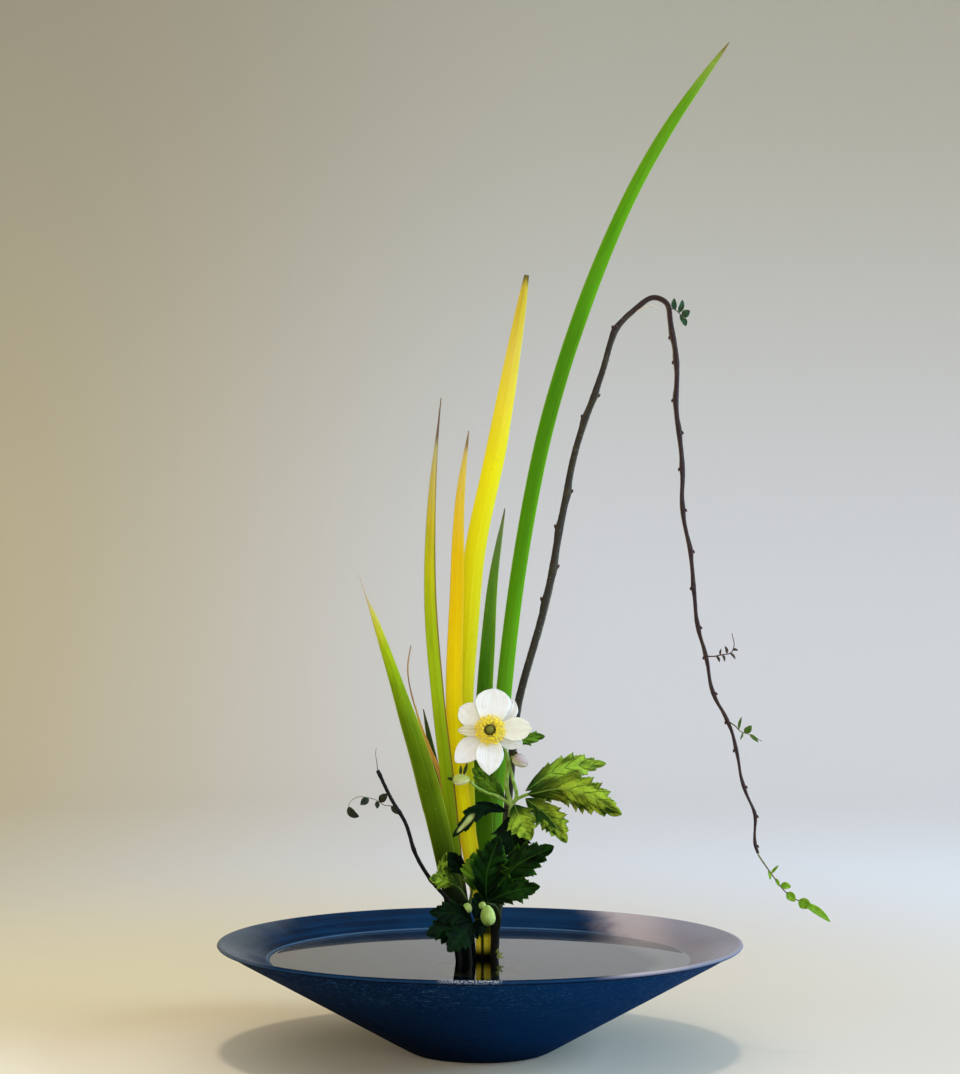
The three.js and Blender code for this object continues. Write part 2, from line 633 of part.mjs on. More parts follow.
function addAnemone() {
  addPiece('anemone_stem', 'stalk', makeMainStem());
  addPiece('anemone_stem_low', 'stalk', makeLowStem());
  addFlower();
  bud('bud_right', [26.4, -27.4, 196], 4.4, 11.6, 122);
  bud('bud_left', [-12.4, -29, 183.6], 3.7, 11.4, 86);
  bud('bud_low', [5.4, -28, 94], 4.2, 13.4, -8);
  bud('bud_knob', [-8.4, -28.6, 99.2], 3, 6.4, 0);
  for (const [name, leaf] of Object.entries(ANEMONE_LEAVES)) {
    addPiece(name, leaf.dark ? 'deepLeaf' : 'midLeaf', anemoneLobe(leaf.points, leaf.width));
  }
  addPiece('leaf_dark_large', 'deepLeaf', makeLeafDarkLarge());
  addPiece('leaf_dark_low', 'deepLeaf', makeLeafDarkLow());
}

// every stem that passes through the water, a little enlarged, and the ground that its foot covers
function stemsInWater() {
  const iris = Object.values(IRIS_LEAVES).map((leaf) => irisLeaf(leaf, GAP));
  return [
    ...iris,
    branchShape(GAP),
    shortBranch(GAP),
    mainStem(GAP),
    lowStem(GAP),
  ];
}

function feet() {
  const { branch, leaf, leafThick, stem: round } = FOOT_REACH;
  const stems = [SHORT_BRANCH, MAIN_STEM, LOW_STEM];
  return [
    ...Object.values(IRIS_LEAVES).map(({ points }) => footOf({ points, reach: leaf, thick: leafThick })),
    footOf({ points: BRANCH, reach: branch, thick: branch }),
    ...stems.map((points) => footOf({ points, reach: round, thick: round })),
  ];
}

addPiece('bowl', 'glaze', makeBowl());
addPiece('water', 'water', makeWater(stemsInWater()));
addPiece('kenzan_base', 'lead', makeKenzanBase());
addPiece('kenzan_pins', 'brass', makeKenzanPins(feet()));
addIris();
addBranches();
addAnemone();

export default part;
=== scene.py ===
import math

import bpy
import numpy as np
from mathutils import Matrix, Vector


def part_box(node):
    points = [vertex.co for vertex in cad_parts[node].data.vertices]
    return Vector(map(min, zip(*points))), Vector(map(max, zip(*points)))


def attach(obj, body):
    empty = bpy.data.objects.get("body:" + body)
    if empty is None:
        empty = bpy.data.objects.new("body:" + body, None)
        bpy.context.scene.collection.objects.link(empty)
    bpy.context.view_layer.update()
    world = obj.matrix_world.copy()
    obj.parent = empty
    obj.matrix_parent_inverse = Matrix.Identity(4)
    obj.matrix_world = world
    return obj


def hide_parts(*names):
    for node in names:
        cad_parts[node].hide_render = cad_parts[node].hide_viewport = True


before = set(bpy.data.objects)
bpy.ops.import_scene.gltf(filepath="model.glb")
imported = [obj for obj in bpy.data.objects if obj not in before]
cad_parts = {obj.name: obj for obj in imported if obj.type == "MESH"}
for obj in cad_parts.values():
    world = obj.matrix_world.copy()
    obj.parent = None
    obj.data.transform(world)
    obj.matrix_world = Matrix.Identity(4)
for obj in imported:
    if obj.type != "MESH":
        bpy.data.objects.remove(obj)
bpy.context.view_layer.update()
print("frame loaded:", len(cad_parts), "nodes")


def mm(rows):  # rows of millimetres, as metres
    return np.array(rows, float) * 0.001


def unit(rows):  # each row divided by its length
    return rows / np.maximum(np.linalg.norm(rows, axis=-1, keepdims=True), 1e-12)


def between(t, stops):  # straight lines from stop to stop; a stop is (place, value)
    places, values = zip(*stops)
    return np.interp(t, places, values)


def smoothPath(points, count):
    # centripetal Catmull-Rom: a cubic from point to point whose end slopes come from the
    # neighbours, weighted by the root of each distance, then read at equal steps of its length
    p = np.asarray(points, float)
    p = np.vstack([2 * p[0] - p[1], p, 2 * p[-1] - p[-2]])
    a, b, c, d = p[:-3], p[1:-2], p[2:-1], p[3:]
    pairs = ((a, b), (b, c), (c, d))
    ab, bc, cd = [np.sqrt(np.linalg.norm(r - q, axis=1, keepdims=True)) for q, r in pairs]
    leave = ((b - a) / ab - (c - a) / (ab + bc) + (c - b) / bc) * bc
    arrive = ((c - b) / bc - (d - b) / (bc + cd) + (d - c) / cd) * bc
    t = np.linspace(0, 1, 33)[:-1, None, None]
    square = 3 * (c - b) - 2 * leave - arrive
    cube = 2 * (b - c) + leave + arrive
    curve = b + leave * t + square * t ** 2 + cube * t ** 3
    curve = np.vstack([curve.transpose(1, 0, 2).reshape(-1, 3), p[-2]])
    run = np.concatenate([[0], np.cumsum(np.linalg.norm(np.diff(curve, axis=0), axis=1))])
    return at(curve, np.linspace(0, 1, count), run / run[-1])


def at(track, u, knots=None):  # a track of points read at any places u from 0 to 1
    knots = np.linspace(0, 1, len(track)) if knots is None else knots
    return np.stack([np.interp(u, knots, track[:, k]) for k in range(3)], -1)


def axesAlong(path, face=(0, -1, 0), turn=0.0):
    # right = tangent x face, out = right x tangent, both then turned about the tangent
    tangent = unit(np.gradient(path, axis=0))
    right = unit(np.cross(tangent, np.broadcast_to(np.array(face, float), tangent.shape)))
    out = np.cross(right, tangent)
    angle = np.radians(np.broadcast_to(turn, len(path)))[:, None]
    return right * np.cos(angle) - out * np.sin(angle), out * np.cos(angle) + right * np.sin(angle)


def ripple(u, seed, waves=4):  # a few sines of random phase, from about -1 to 1
    rng = np.random.default_rng(seed)
    parts = [np.sin(2 * np.pi * (k + 1) * u * rng.uniform(0.7, 1.3) + rng.uniform(0, 6.3)) / (k + 1)
             for k in range(waves)]
    return sum(parts) / 1.6


def gridQuads(rows, columns):  # row, column and four corners of each cell; columns wrap round
    i, j = np.meshgrid(np.arange(rows - 1), np.arange(columns), indexing="ij")
    k = (j + 1) % columns
    return i, j, np.stack([i * columns + j, i * columns + k, (i + 1) * columns + k, (i + 1) * columns + j],
                          -1)


class Shell:
    # gathers closed grids of points into one mesh; rows run along a piece, columns wrap round it
    def __init__(self):
        self.points, self.faces, self.corners, self.slots, self.under, self.seed = [], [], [], [], [], []
        self.count = 0

    def ring(self, grid, slot=0, around=None, under=None, seed=0.5, alongSpan=(0, 1)):
        # quads between neighbouring rows, and a fan from each end row to its middle
        rows, columns = grid.shape[:2]
        around = np.linspace(0, 1, columns + 1) if around is None else around
        along = np.linspace(*alongSpan, rows)
        points = np.vstack([grid.reshape(-1, 3), grid[0].mean(0), grid[-1].mean(0)])
        i, j, quads = gridQuads(rows, columns)
        quadUv = np.stack([
            np.stack([along[i], around[j]], -1), np.stack([along[i], around[j + 1]], -1),
            np.stack([along[i + 1], around[j + 1]], -1), np.stack([along[i + 1], around[j]], -1)], 2)
        j = np.arange(columns)
        k = (j + 1) % columns
        ends = []
        endUv = []
        middles = ((0, rows * columns, along[0]), (rows - 1, rows * columns + 1, along[-1]))
        for row, centre, place in middles:
            a, b = row * columns + j, row * columns + k
            mid = np.full(columns, centre)
            flat = np.full(columns, place)
            first, second, u, v = a, b, around[j], around[j + 1]
            if row == 0:
                first, second, u, v = b, a, around[j + 1], around[j]
            ends.append(np.stack([mid, first, second], -1))
            endUv.append(np.stack([
                np.stack([flat, (u + v) / 2], -1), np.stack([flat, u], -1), np.stack([flat, v], -1)], 1))
        faces = [*quads.reshape(-1, 4), *ends[0], *ends[1]]
        corners = [*quadUv.reshape(-1, 4, 2), *endUv[0], *endUv[1]]
        a, b, c, d = points[quads.reshape(-1, 4)].transpose(1, 0, 2)
        tri = points[np.vstack(ends)].transpose(1, 0, 2)
        volume = (np.cross(a, b) * c + np.cross(a, c) * d).sum() + (np.cross(tri[0], tri[1]) * tri[2]).sum()
        if volume < 0:
            faces = [f[::-1] for f in faces]
            corners = [c[::-1] for c in corners]
        side = np.zeros(columns) if under is None else under
        self.points.append(points)
        self.faces += [(f + self.count).tolist() for f in faces]
        self.corners += corners
        self.slots += [slot] * len(faces)
        self.under.append(np.concatenate([np.tile(side, rows), [0, 0]]))
        self.seed.append(np.full(len(points), seed))
        self.count += len(points)

    def copies(self, faces, placed, slot=0, seeds=None):
        # one small shape many times: placed holds each copy's points
        n, size = placed.shape[:2]
        self.points.append(placed.reshape(-1, 3))
        for i in range(n):
            self.faces += [(f + self.count + i * size).tolist() for f in faces]
        self.corners += [np.full((len(f), 2), 0.5) for f in faces] * n
        self.slots += [slot] * (len(faces) * n)
        self.under.append(np.zeros(n * size))
        self.seed.append(np.repeat(np.full(n, 0.5) if seeds is None else seeds, size))
        self.count += n * size

    def piece(self, name, materials, nodes):
        mesh = bpy.data.meshes.new(name)
        mesh.from_pydata(np.vstack(self.points).tolist(), [], self.faces)
        uv = mesh.uv_layers.new(name="UVMap")
        uv.data.foreach_set("uv", np.vstack(self.corners).ravel())
        mesh.polygons.foreach_set("material_index", np.array(self.slots, np.int32))
        mesh.polygons.foreach_set("use_smooth", np.ones(len(self.faces), bool))
        for label, values in (("under", self.under), ("seed", self.seed)):
            mesh.attributes.new(label, "FLOAT", "POINT").data.foreach_set("value", np.concatenate(values))
        for material in materials:
            mesh.materials.append(material)
        mesh.update()
        thing = bpy.data.objects.new(name, mesh)
        bpy.context.collection.objects.link(thing)
        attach(thing, "root")
        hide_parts(*nodes)


def ringPiece(name, grid, material, node, slot, **ring):  # a piece that is one closed grid
    shell = Shell()
    shell.ring(grid, **ring)
    shell.piece(name, [material], [node])


def tube(path, radius, columns=12, face=(0, -1, 0)):
    # a circle of the given radius carried along the path
    right, out = axesAlong(path, face)
    angle = np.linspace(0, 2 * np.pi, columns, endpoint=False)
    circle = right[:, None] * np.cos(angle)[:, None] + out[:, None] * np.sin(angle)[:, None]
    radius = np.broadcast_to(radius, len(path)) if np.ndim(radius) < 2 else radius
    radius = radius[:, None, None] if radius.ndim == 1 else radius[..., None]
    return path[:, None] + circle * radius


def tubeFaces(rows, columns):  # quads round a small closed tube, and a cap at each end
    last = (rows - 1) * columns
    quads = gridQuads(rows, columns)[2].reshape(-1, 4)
    return [*quads, np.arange(columns)[::-1], np.arange(last, last + columns)]


def closedSheet(sheet, thick):
    # a sheet given its thickness: the front is moved out and the back in along the normal
    normal = unit(np.cross(np.gradient(sheet, axis=1), np.gradient(sheet, axis=0)))
    front = sheet + normal * thick[..., None] / 2
    back = sheet - normal * thick[..., None] / 2
    columns = sheet.shape[1]
    v = np.linspace(0, 1, columns)
    around = np.concatenate([v, v[-2:0:-1], [0]])
    under = np.concatenate([np.zeros(columns), np.ones(columns - 2)])
    return np.concatenate([front, back[:, -2:0:-1]], 1), around, under


def turnedProfile(profile, columns):
    # a profile of (radius, height) turned once round the upright axis
    angle = np.linspace(0, 2 * np.pi, columns, endpoint=False)
    r, z = profile[:, 0, None], profile[:, 1, None]
    return np.stack([r * np.cos(angle), r * np.sin(angle), z + 0 * angle], -1)


class Wire:
    # one value, colour or vector of a material; arithmetic on it adds the Math nodes
    def __init__(self, paint, socket):
        self.paint = paint
        self.socket = socket

    def maths(self, operation, first, second=0.0):
        return self.paint.node("ShaderNodeMath", {"operation": operation}, {0: first, 1: second})

    def __add__(self, other):
        return self.maths("ADD", self, other)

    def __sub__(self, other):
        return self.maths("SUBTRACT", self, other)

    def __rsub__(self, other):
        return self.maths("SUBTRACT", other, self)

    def __mul__(self, other):
        return self.maths("MULTIPLY", self, other)

    def __pow__(self, other):
        return self.maths("POWER", self, other)

    __radd__ = __add__
    __rmul__ = __mul__

    def sibling(self, index):  # another output of the same node
        return Wire(self.paint, self.socket.node.outputs[index])

    def size(self):
        return self.maths("ABSOLUTE", self)

    def part(self):
        return self.maths("FRACT", self)

    def wave(self):
        return self.maths("SINE", self)

    def rise(self, low, high, bottom=0.0, top=1.0):  # smooth step from low to high
        return self.paint.node(
            "ShaderNodeMapRange", {"interpolation_type": "SMOOTHSTEP"},
            {"Value": self, "From Min": low, "From Max": high, "To Min": bottom, "To Max": top})


class Paint:
    # one material, made of nodes through a single method
    def __init__(self, name):
        self.material = bpy.data.materials.new(name)
        self.material.use_nodes = True
        self.tree = self.material.node_tree
        self.tree.nodes.clear()
        self.place = self.node("ShaderNodeTexCoord", out="Object")
        self.x = self.node("ShaderNodeSeparateXYZ", {}, {0: self.place})
        self.y, self.z = self.x.sibling(1), self.x.sibling(2)
        self.along = self.node("ShaderNodeSeparateXYZ", {}, {0: self.node("ShaderNodeTexCoord", out="UV")})
        self.across = self.along.sibling(1)

    def node(self, kind, settings=None, sockets=None, out=0):
        made = self.tree.nodes.new(kind)
        for key, value in (settings or {}).items():
            if key == "stops":
                self.fillRamp(made.color_ramp, value)
            else:
                setattr(made, key, value)
        for key, value in (sockets or {}).items():
            if isinstance(value, Wire):
                self.tree.links.new(value.socket, made.inputs[key])
            else:
                colour = made.inputs[key].type == "RGBA" and len(value) == 3
                made.inputs[key].default_value = hue(*value) if colour else value
        return Wire(self, made.outputs[out])

    def fillRamp(self, ramp, stops):
        while len(ramp.elements) < len(stops):
            ramp.elements.new(0.5)
        for element, (place, *display) in zip(ramp.elements, stops):  # (place, red, green, blue)
            element.position = place
            element.color = hue(*display)

    def ramp(self, factor, stops):
        return self.node("ShaderNodeValToRGB", {"stops": stops}, {"Fac": factor})

    def mix(self, factor, first, second):
        return self.node("ShaderNodeMix", {"data_type": "RGBA"}, {0: factor, 6: first, 7: second}, out=2)

    def stretched(self, scale, *facts):  # noise drawn out along an axis
        place = self.node("ShaderNodeMapping", {}, {"Vector": self.place, "Scale": scale})
        return self.noise(1.0, *facts, place=place)

    def leafPlace(self, alongScale, acrossScale):  # a vector from the piece's own UV
        return self.node("ShaderNodeCombineXYZ", {}, {
            0: self.along * alongScale, 1: self.across * acrossScale, 2: self.attribute("seed") * 7.0})

    def noise(self, scale, detail=3.0, rough=0.55, place=None):
        return self.node("ShaderNodeTexNoise", {}, {
            "Vector": place or self.place, "Scale": scale, "Detail": detail, "Roughness": rough}, out="Fac")

    def streaks(self, alongScale, acrossScale, *facts):  # noise that follows the piece's own UV
        return self.noise(*facts, place=self.leafPlace(alongScale, acrossScale))

    def cells(self, alongScale, acrossScale, feature="F1"):
        place = self.leafPlace(alongScale, acrossScale)
        return self.node("ShaderNodeTexVoronoi", {"feature": feature}, {"Vector": place, "Scale": 1.0},
                         out="Distance")

    def attribute(self, name):
        return self.node("ShaderNodeAttribute", {"attribute_name": name}, out="Fac")

    def finish(self, colour, roughness, height=None, distance=0.0005, strength=0.6, **constants):
        # constants are set on the shader's own sockets, named in camelCase
        sockets = {"Base Color": colour, "Roughness": roughness}
        if height is not None:
            sockets["Normal"] = self.node("ShaderNodeBump", {}, {
                "Height": height, "Distance": distance, "Strength": strength})
        named = {
            "specular": "Specular IOR Level", "coat": "Coat Weight", "coatRoughness": "Coat Roughness",
            "metallic": "Metallic", "glow": "Subsurface Weight", "glowScale": "Subsurface Scale",
            "glowRadius": "Subsurface Radius", "ior": "IOR", "clear": "Transmission Weight",
            "sheen": "Sheen Weight", "sheenRoughness": "Sheen Roughness"}
        sockets.update({named[key]: value for key, value in constants.items()})
        shader = self.node("ShaderNodeBsdfPrincipled", {}, sockets)
        end = self.tree.nodes.new("ShaderNodeOutputMaterial")
        self.tree.links.new(shader.socket, end.inputs["Surface"])
        return self.material


def hue(red, green, blue):
    # display values of 0 to 255 as the linear colour that a shader wants; colours below are
    # written with three display values or with four linear ones
    shares = [c / 255 for c in (red, green, blue)]
    return (*[c / 12.92 if c <= 0.04 else ((c + 0.055) / 1.055) ** 2.4 for c in shares], 1.0)


studio = {
    "cameraPlace": (0.0, -1.914, 0.343),
    "lens": 96.2, "sensor": 36.0,
    "floorLeft": (215, 199, 162),
    "floorNear": (238, 229, 205),
    "floorRight": (209, 198, 185),
    "wallLowLeft": (196, 183, 150),
    "wallLowRight": (220, 221, 227),
    "wallHighLeft": (183, 172, 149),
    "wallHighRight": (200, 196, 181),
    "paperShadeByLamp": (128, 126, 124),  # painted shade: the paper darkened right beside a lamp
    "keyStrength": 0.785,
    "keyTone": (1.0, 0.92, 0.78),
    "keyTurn": (math.radians(10), 0.0, 0.0),
    "keySoftness": math.radians(6),
    "skyTone": (0.98, 0.98, 1.0),
    "skyStrength": 0.645,
    "lamps": {  # place, aim, width, height, power, tone
        "windowLight": ((1.9, -0.3, 0.9), (0.0, 0.0, 0.08), 1.0, 0.9, 50.0, (0.46, 0.74, 1.0)),
        "lowLight": ((-1.8, -0.6, 0.6), (-0.1, 0.0, 0.0), 1.0, 0.5, 9.0, (1.0, 0.93, 0.8)),
        "frontLight": ((0.1, -2.4, 0.8), (0.0, 0.0, 0.2), 1.6, 1.0, 18.0, (1.0, 0.98, 0.95)),
    },
    "floorRadius": 1.85,
    "wallRadius": 3.25,
    "wallTop": 2.6,
}


def makeCamera():
    lens = bpy.data.cameras.new("camera")
    lens.lens = studio["lens"]
    lens.sensor_width = studio["sensor"]
    camera = bpy.data.objects.new("camera", lens)
    camera.location = studio["cameraPlace"]
    camera.rotation_euler = (math.radians(90), 0, 0)
    bpy.context.collection.objects.link(camera)
    bpy.context.scene.camera = camera
    bpy.context.scene.view_settings.view_transform = "Standard"


def makeStage():
    # a round floor that sweeps up into a wall: radius grows, then height follows a quarter circle
    start, wall = studio["floorRadius"], studio["wallRadius"]
    size = wall - start
    flat = [(0.0005, 0), (0.35, 0), (0.9, 0), (1.3, 0)]
    curve = [(start + size * math.sin(a), size - size * math.cos(a)) for a in np.linspace(0, np.pi / 2, 24)]
    profile = np.array([*flat, *curve, (wall, size + 0.5), (wall, studio["wallTop"])])
    grid = turnedProfile(profile, 96)
    quads = gridQuads(*grid.shape[:2])[2]
    mesh = bpy.data.meshes.new("studioFloor")
    mesh.from_pydata(grid.reshape(-1, 3).tolist(), [], quads.reshape(-1, 4).tolist())
    mesh.polygons.foreach_set("use_smooth", np.ones(len(mesh.polygons), bool))
    mesh.materials.append(stagePaint())
    floor = bpy.data.objects.new("studioFloor", mesh)
    bpy.context.collection.objects.link(floor)
    floor.visible_shadow = False


def stagePaint():
    # floor tones near the middle pass into wall tones further out; both drift from left to right,
    # and the wall also from low to high; these drifts and the brighter floor at the front left are
    # painted light and shade, warm on the left and cool on the right
    paint = Paint("studioPaper")
    x, z = paint.x, paint.z
    distance = (x * x + paint.y * paint.y) ** 0.5
    low = paint.mix(x.rise(-0.85, 0.25), studio["wallLowLeft"], studio["wallLowRight"])
    high = paint.mix(x.rise(-0.85, 0.25), studio["wallHighLeft"], studio["wallHighRight"])
    wall = paint.mix(z.rise(0.1, 1.3), low, high)
    left = paint.mix(paint.y.rise(0.20, -0.08), studio["floorLeft"], studio["floorNear"])
    floor = paint.mix(x.rise(-0.35, 0.35), left, studio["floorRight"])
    tone = paint.mix(distance.rise(0.35, 1.2), floor, wall)
    shadeByWindow = x.rise(0.5, 1.6) * paint.y.rise(1.5, 0.5)  # painted shade: the paper is darkened beside each lamp, against its bright spot
    shadeByLowLamp = x.rise(-0.6, -1.6) * paint.y.rise(0.9, 0.1)
    tone = paint.mix(shadeByWindow * 0.8, tone, studio["paperShadeByLamp"])
    tone = paint.mix(shadeByLowLamp * 0.45, tone, studio["paperShadeByLamp"])
    return paint.finish(tone, 0.9, specular=0.05)


def makeArea(name, place, aim, width, height, power, tone):
    data = bpy.data.lights.new(name, "AREA")
    data.shape = "RECTANGLE"
    data.size, data.size_y = width, height
    data.energy, data.color = power, tone
    lamp = bpy.data.objects.new(name, data)
    lamp.location = place
    away = np.array(place, float) - np.array(aim, float)
    level = math.hypot(away[0], away[1])
    lamp.rotation_euler = (math.atan2(level, away[2]), 0, math.atan2(away[0], -away[1]))
    bpy.context.collection.objects.link(lamp)


def makeLights():
    world = bpy.data.worlds.new("sky")
    bpy.context.scene.world = world
    world.use_nodes = True
    sky = world.node_tree.nodes["Background"]
    sky.inputs["Color"].default_value = (*studio["skyTone"], 1)
    sky.inputs["Strength"].default_value = studio["skyStrength"]
    sun = bpy.data.lights.new("keyLight", "SUN")
    sun.energy = studio["keyStrength"]
    sun.color = studio["keyTone"]
    sun.angle = studio["keySoftness"]
    key = bpy.data.objects.new("keyLight", sun)
    key.rotation_euler = studio["keyTurn"]
    bpy.context.collection.objects.link(key)
    for name, lamp in studio["lamps"].items():
        makeArea(name, *lamp)


makeCamera()
makeStage()
makeLights()
print("studio ready")

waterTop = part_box("water")[1][2]
bowl = {
    "footRadius": 0.044,
    "flare": 1.79,  # how far the straight wall runs out for each step up
    "lipHeight": 0.009,
    "columns": 270,
    "waterRadius": 0.1398,  # of the inside, at the water
    "footShade": (0.0004, 0.0022, 0.0080, 1.0),
    "outsideShadedLeft": (0.0015, 0.0100, 0.0360, 1.0),
    "outsideLitRight": (0.0010, 0.0300, 0.1200, 1.0),
    "inside": (0.0006, 0.0080, 0.0260, 1.0),
    "insideBlue": (0.0010, 0.0230, 0.0680, 1.0),
    # tone of the painted highlights on chips and specks, and along the lip
    "chipsAndGlints": (0.050, 0.140, 0.300, 1.0),
    "rimGlintTone": (0.8, 0.82, 0.85, 1.0),
    "waterlineGlint": (0.100, 0.190, 0.300, 1.0),
    "lipShade": (0.0006, 0.0015, 0.0050, 1.0),
    "leftReflection": (0.095, 0.115, 0.140, 1.0),
    "rightReflection": (0.470, 0.385, 0.380, 1.0),
    "rightReflectionFade": (0.300, 0.275, 0.310, 1.0),
}


def bowlProfile():
    # straight flared wall, thin outturned lip, wide sloping band, inner wall, flat floor
    radius, _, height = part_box("bowl")[1]
    foot, flare, waterRadius = bowl["footRadius"], bowl["flare"], bowl["waterRadius"]
    outside = foot + 0.0011
    lip = height - bowl["lipHeight"]
    corners = [
        (0.0004, 0.0), (0.02, 0.0), (foot - 0.0012, 0.0), (foot + 0.0002, 0.0003),
        (outside + 0.0012 * flare, 0.0014),
        *[(outside + z * flare, z) for z in (0.006, 0.02, 0.04, lip - 0.008, lip)],
        (radius - 0.006, height - 0.0046), (radius - 0.0014, height - 0.0026),
        (radius - 0.0002, height - 0.0014), (radius - 0.0008, height - 0.0002),
        (radius - 0.0026, height - 0.0001), (radius - 0.006, height - 0.001),
        (radius - 0.018, height - 0.0044), (waterRadius, waterTop),
        (waterRadius - 0.009, waterTop - 0.004), (0.116, 0.048), (0.086, 0.032), (0.052, 0.0116),
        (0.0474, 0.0086), (0.043, 0.007), (0.02, 0.007), (0.0004, 0.007),
    ]
    return smoothPath([(r, z, 0) for r, z in corners], 360)[:, :2]


def bowlPaint(lipAt):
    # navy glaze over a rough body outside, smooth and glossy from the lip inwards; on the sloping
    # band a grey reflection is painted, most of all on the right, where it is pinkish
    paint = Paint("bowlGlaze")
    inside = paint.along.rise(lipAt - 0.006, lipAt + 0.004)
    drift = paint.noise(7.0, 4.0)
    # painted light and shade: the outside glaze is darker on the left and lighter towards the lit right
    turned = (paint.x + (drift - 0.5) * 0.12).rise(-0.09, 0.13)
    tone = paint.mix(turned, bowl["outsideShadedLeft"], bowl["outsideLitRight"])
    foot = (paint.z + paint.x * 0.25).rise(-0.012, 0.032, 0.85, 0.0)
    tone = paint.mix(foot, tone, bowl["footShade"])
    # painted highlight: light chips and specks on the rough glaze, mostly near the top and along the lit
    # lower right; the same chips also raise the surface
    chipsAndGlints = paint.stretched((60.0, 60.0, 260.0), 5.0, 0.7)
    specks = paint.noise(420.0, 3.0, 0.7)
    litEdges = paint.z.rise(0.035, 0.066) * 0.3 + (paint.x - paint.z * 0.8).rise(0.02, 0.10) * 0.7
    tone = paint.mix(chipsAndGlints.rise(0.58, 0.72) * litEdges, tone, bowl["chipsAndGlints"])
    tone = paint.mix(specks.rise(0.55, 0.66) * (litEdges + 0.05), tone, bowl["chipsAndGlints"])
    hoops = paint.stretched((3.0, 3.0, 420.0), 3.0, 0.6)
    patches = paint.noise(9.0, 3.0, 0.6)
    deep = paint.mix((hoops * 0.6 + patches * 0.6).rise(0.5, 0.74), bowl["inside"], bowl["insideBlue"])
    tone = paint.mix(inside, tone, deep)
    thin = paint.noise(16.0, 4.0, 0.6)
    band = inside * paint.along.rise(lipAt + 0.14, lipAt + 0.19, 1.0, 0.0)
    depth = paint.along - lipAt
    # painted reflection: grey on the left part of the sloping band
    left = (paint.x + thin * 0.05 + depth * 0.2).rise(-0.142, -0.092, 1.0, 0.0) * band
    tone = paint.mix(left * 0.9, tone, bowl["leftReflection"])
    # painted reflection: pinkish grey on the right part of the band, held in bloom, fading outwards
    right = (paint.x + thin * 0.05 - depth * 0.1).rise(0.086, 0.122) * band
    bloom = paint.mix(paint.x.rise(0.112, 0.142), bowl["rightReflection"], bowl["rightReflectionFade"])
    tone = paint.mix(right * 0.85, tone, bloom)
    # painted highlight: a thin pale line on the inner wall just above the water, fading out on the right
    waterlineGlint = (paint.z - (waterTop + 0.0008)).size().rise(0.0001, 0.0006, 1.0, 0.0) * inside
    tone = paint.mix(waterlineGlint * paint.x.rise(0.06, 0.11, 0.42, 0.05), tone, bowl["waterlineGlint"])
    # painted highlight: a paler line along the lip
    rim = (paint.along - lipAt).size().rise(0.0, 0.004, 1.0, 0.0)
    tone = paint.mix(rim * 0.16, tone, bowl["chipsAndGlints"])
    underLip = (paint.along - (lipAt - 0.007)).size().rise(0.001, 0.005, 1.0, 0.0)
    tone = paint.mix(underLip * 0.8, tone, bowl["lipShade"])
    # painted highlight: small light glints on the front of the lip, a little left of the middle
    rimGlint = paint.noise(1500.0, 2.0).rise(0.54, 0.6) * paint.y.rise(-0.166, -0.169)
    rimGlint = rimGlint * paint.x.rise(-0.028, -0.02) * paint.x.rise(0.016, 0.008) * inside
    tone = paint.mix(rimGlint * 0.9, tone, bowl["rimGlintTone"])
    grain = paint.noise(520.0, 3.0, 0.6)
    lumps = paint.stretched((70.0, 70.0, 130.0), 3.0)
    skin = (grain * 0.5 + lumps * 1.1 + chipsAndGlints * 0.6) * (1 - inside * 0.96)
    roughness = 0.5 + grain * 0.14 - inside * 0.38
    return paint.finish(tone, roughness, skin, distance=0.0012, strength=0.8,
                        specular=0.005, coat=inside * 0.035, coatRoughness=0.06)


def makeBowl():
    profile = bowlProfile()
    lipAt = float(np.argmax(profile[:, 0])) / (len(profile) - 1)
    grid = turnedProfile(profile, bowl["columns"])
    ringPiece("bowlGlazed", grid, bowlPaint(lipAt), "bowl", "bowl_glaze")


water = {"rise": 0.0006, "reach": 0.004, "tone": (0.55, 0.62, 0.62, 1.0)}


def makeWater():
    # follows the inside of the bowl a hair within the glaze; its edge climbs the wall in a curve
    bed = bowlProfile()
    bed = bed[int(np.argmax(bed[:, 0])):]
    bed = bed[bed[:, 1] < waterTop + water["rise"]][::-1] + np.array([0.0003, -0.0003])
    bed = bed[bed[:, 0] > 0.0008]
    edge = bed[-1]
    fall = np.linspace(0, 1, 12)[1:, None]
    climb = waterTop + (edge[1] - waterTop) * (1 - fall) ** 3
    skin = np.concatenate([edge[0] - water["reach"] * fall, climb], 1)
    flat = [(edge[0] * f, waterTop) for f in (0.9, 0.7, 0.5, 0.3, 0.12)] + [(0.0004, waterTop)]
    grid = turnedProfile(np.vstack([bed, skin, flat]), 240)
    paint = Paint("stillWater")
    swell = paint.noise(22.0, 1.0, 0.4)
    material = paint.finish(water["tone"], 0.012, swell, distance=0.0004, strength=0.05,
                            clear=1.0, ior=1.333, specular=0.5)
    ringPiece("waterStill", grid, material, "water", "water")


pinHolder = {
    "spacing": 0.0031, "pinRadius": 0.00055, "bevel": 0.0012,
    "lead": ((34, 38, 40), (62, 64, 62)),
    "brass": ((92, 78, 46), (44, 40, 30)),
}


def makePinHolder():
    low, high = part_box("kenzan_base")
    radius = high[0]
    edge = pinHolder["bevel"]
    profile = np.array([
        (0.0004, low[2]), (radius - edge, low[2]), (radius, low[2] + edge),
        (radius - 0.0002, high[2] - edge), (radius - 0.0008 - edge * 0.4, high[2] - 0.0003),
        (radius - 0.0008 - edge, high[2]), (0.0004, high[2])])
    paint = Paint("castLead")
    cloud = paint.noise(160.0, 5.0, 0.6)
    tone = paint.mix(cloud.rise(0.35, 0.7), *pinHolder["lead"])
    lead = paint.finish(tone, 0.45 + cloud * 0.4, cloud, distance=0.0004, metallic=0.6)
    ringPiece("pinHolderBase", turnedProfile(profile, 96), lead, "kenzan_base", "kenzan_lead")


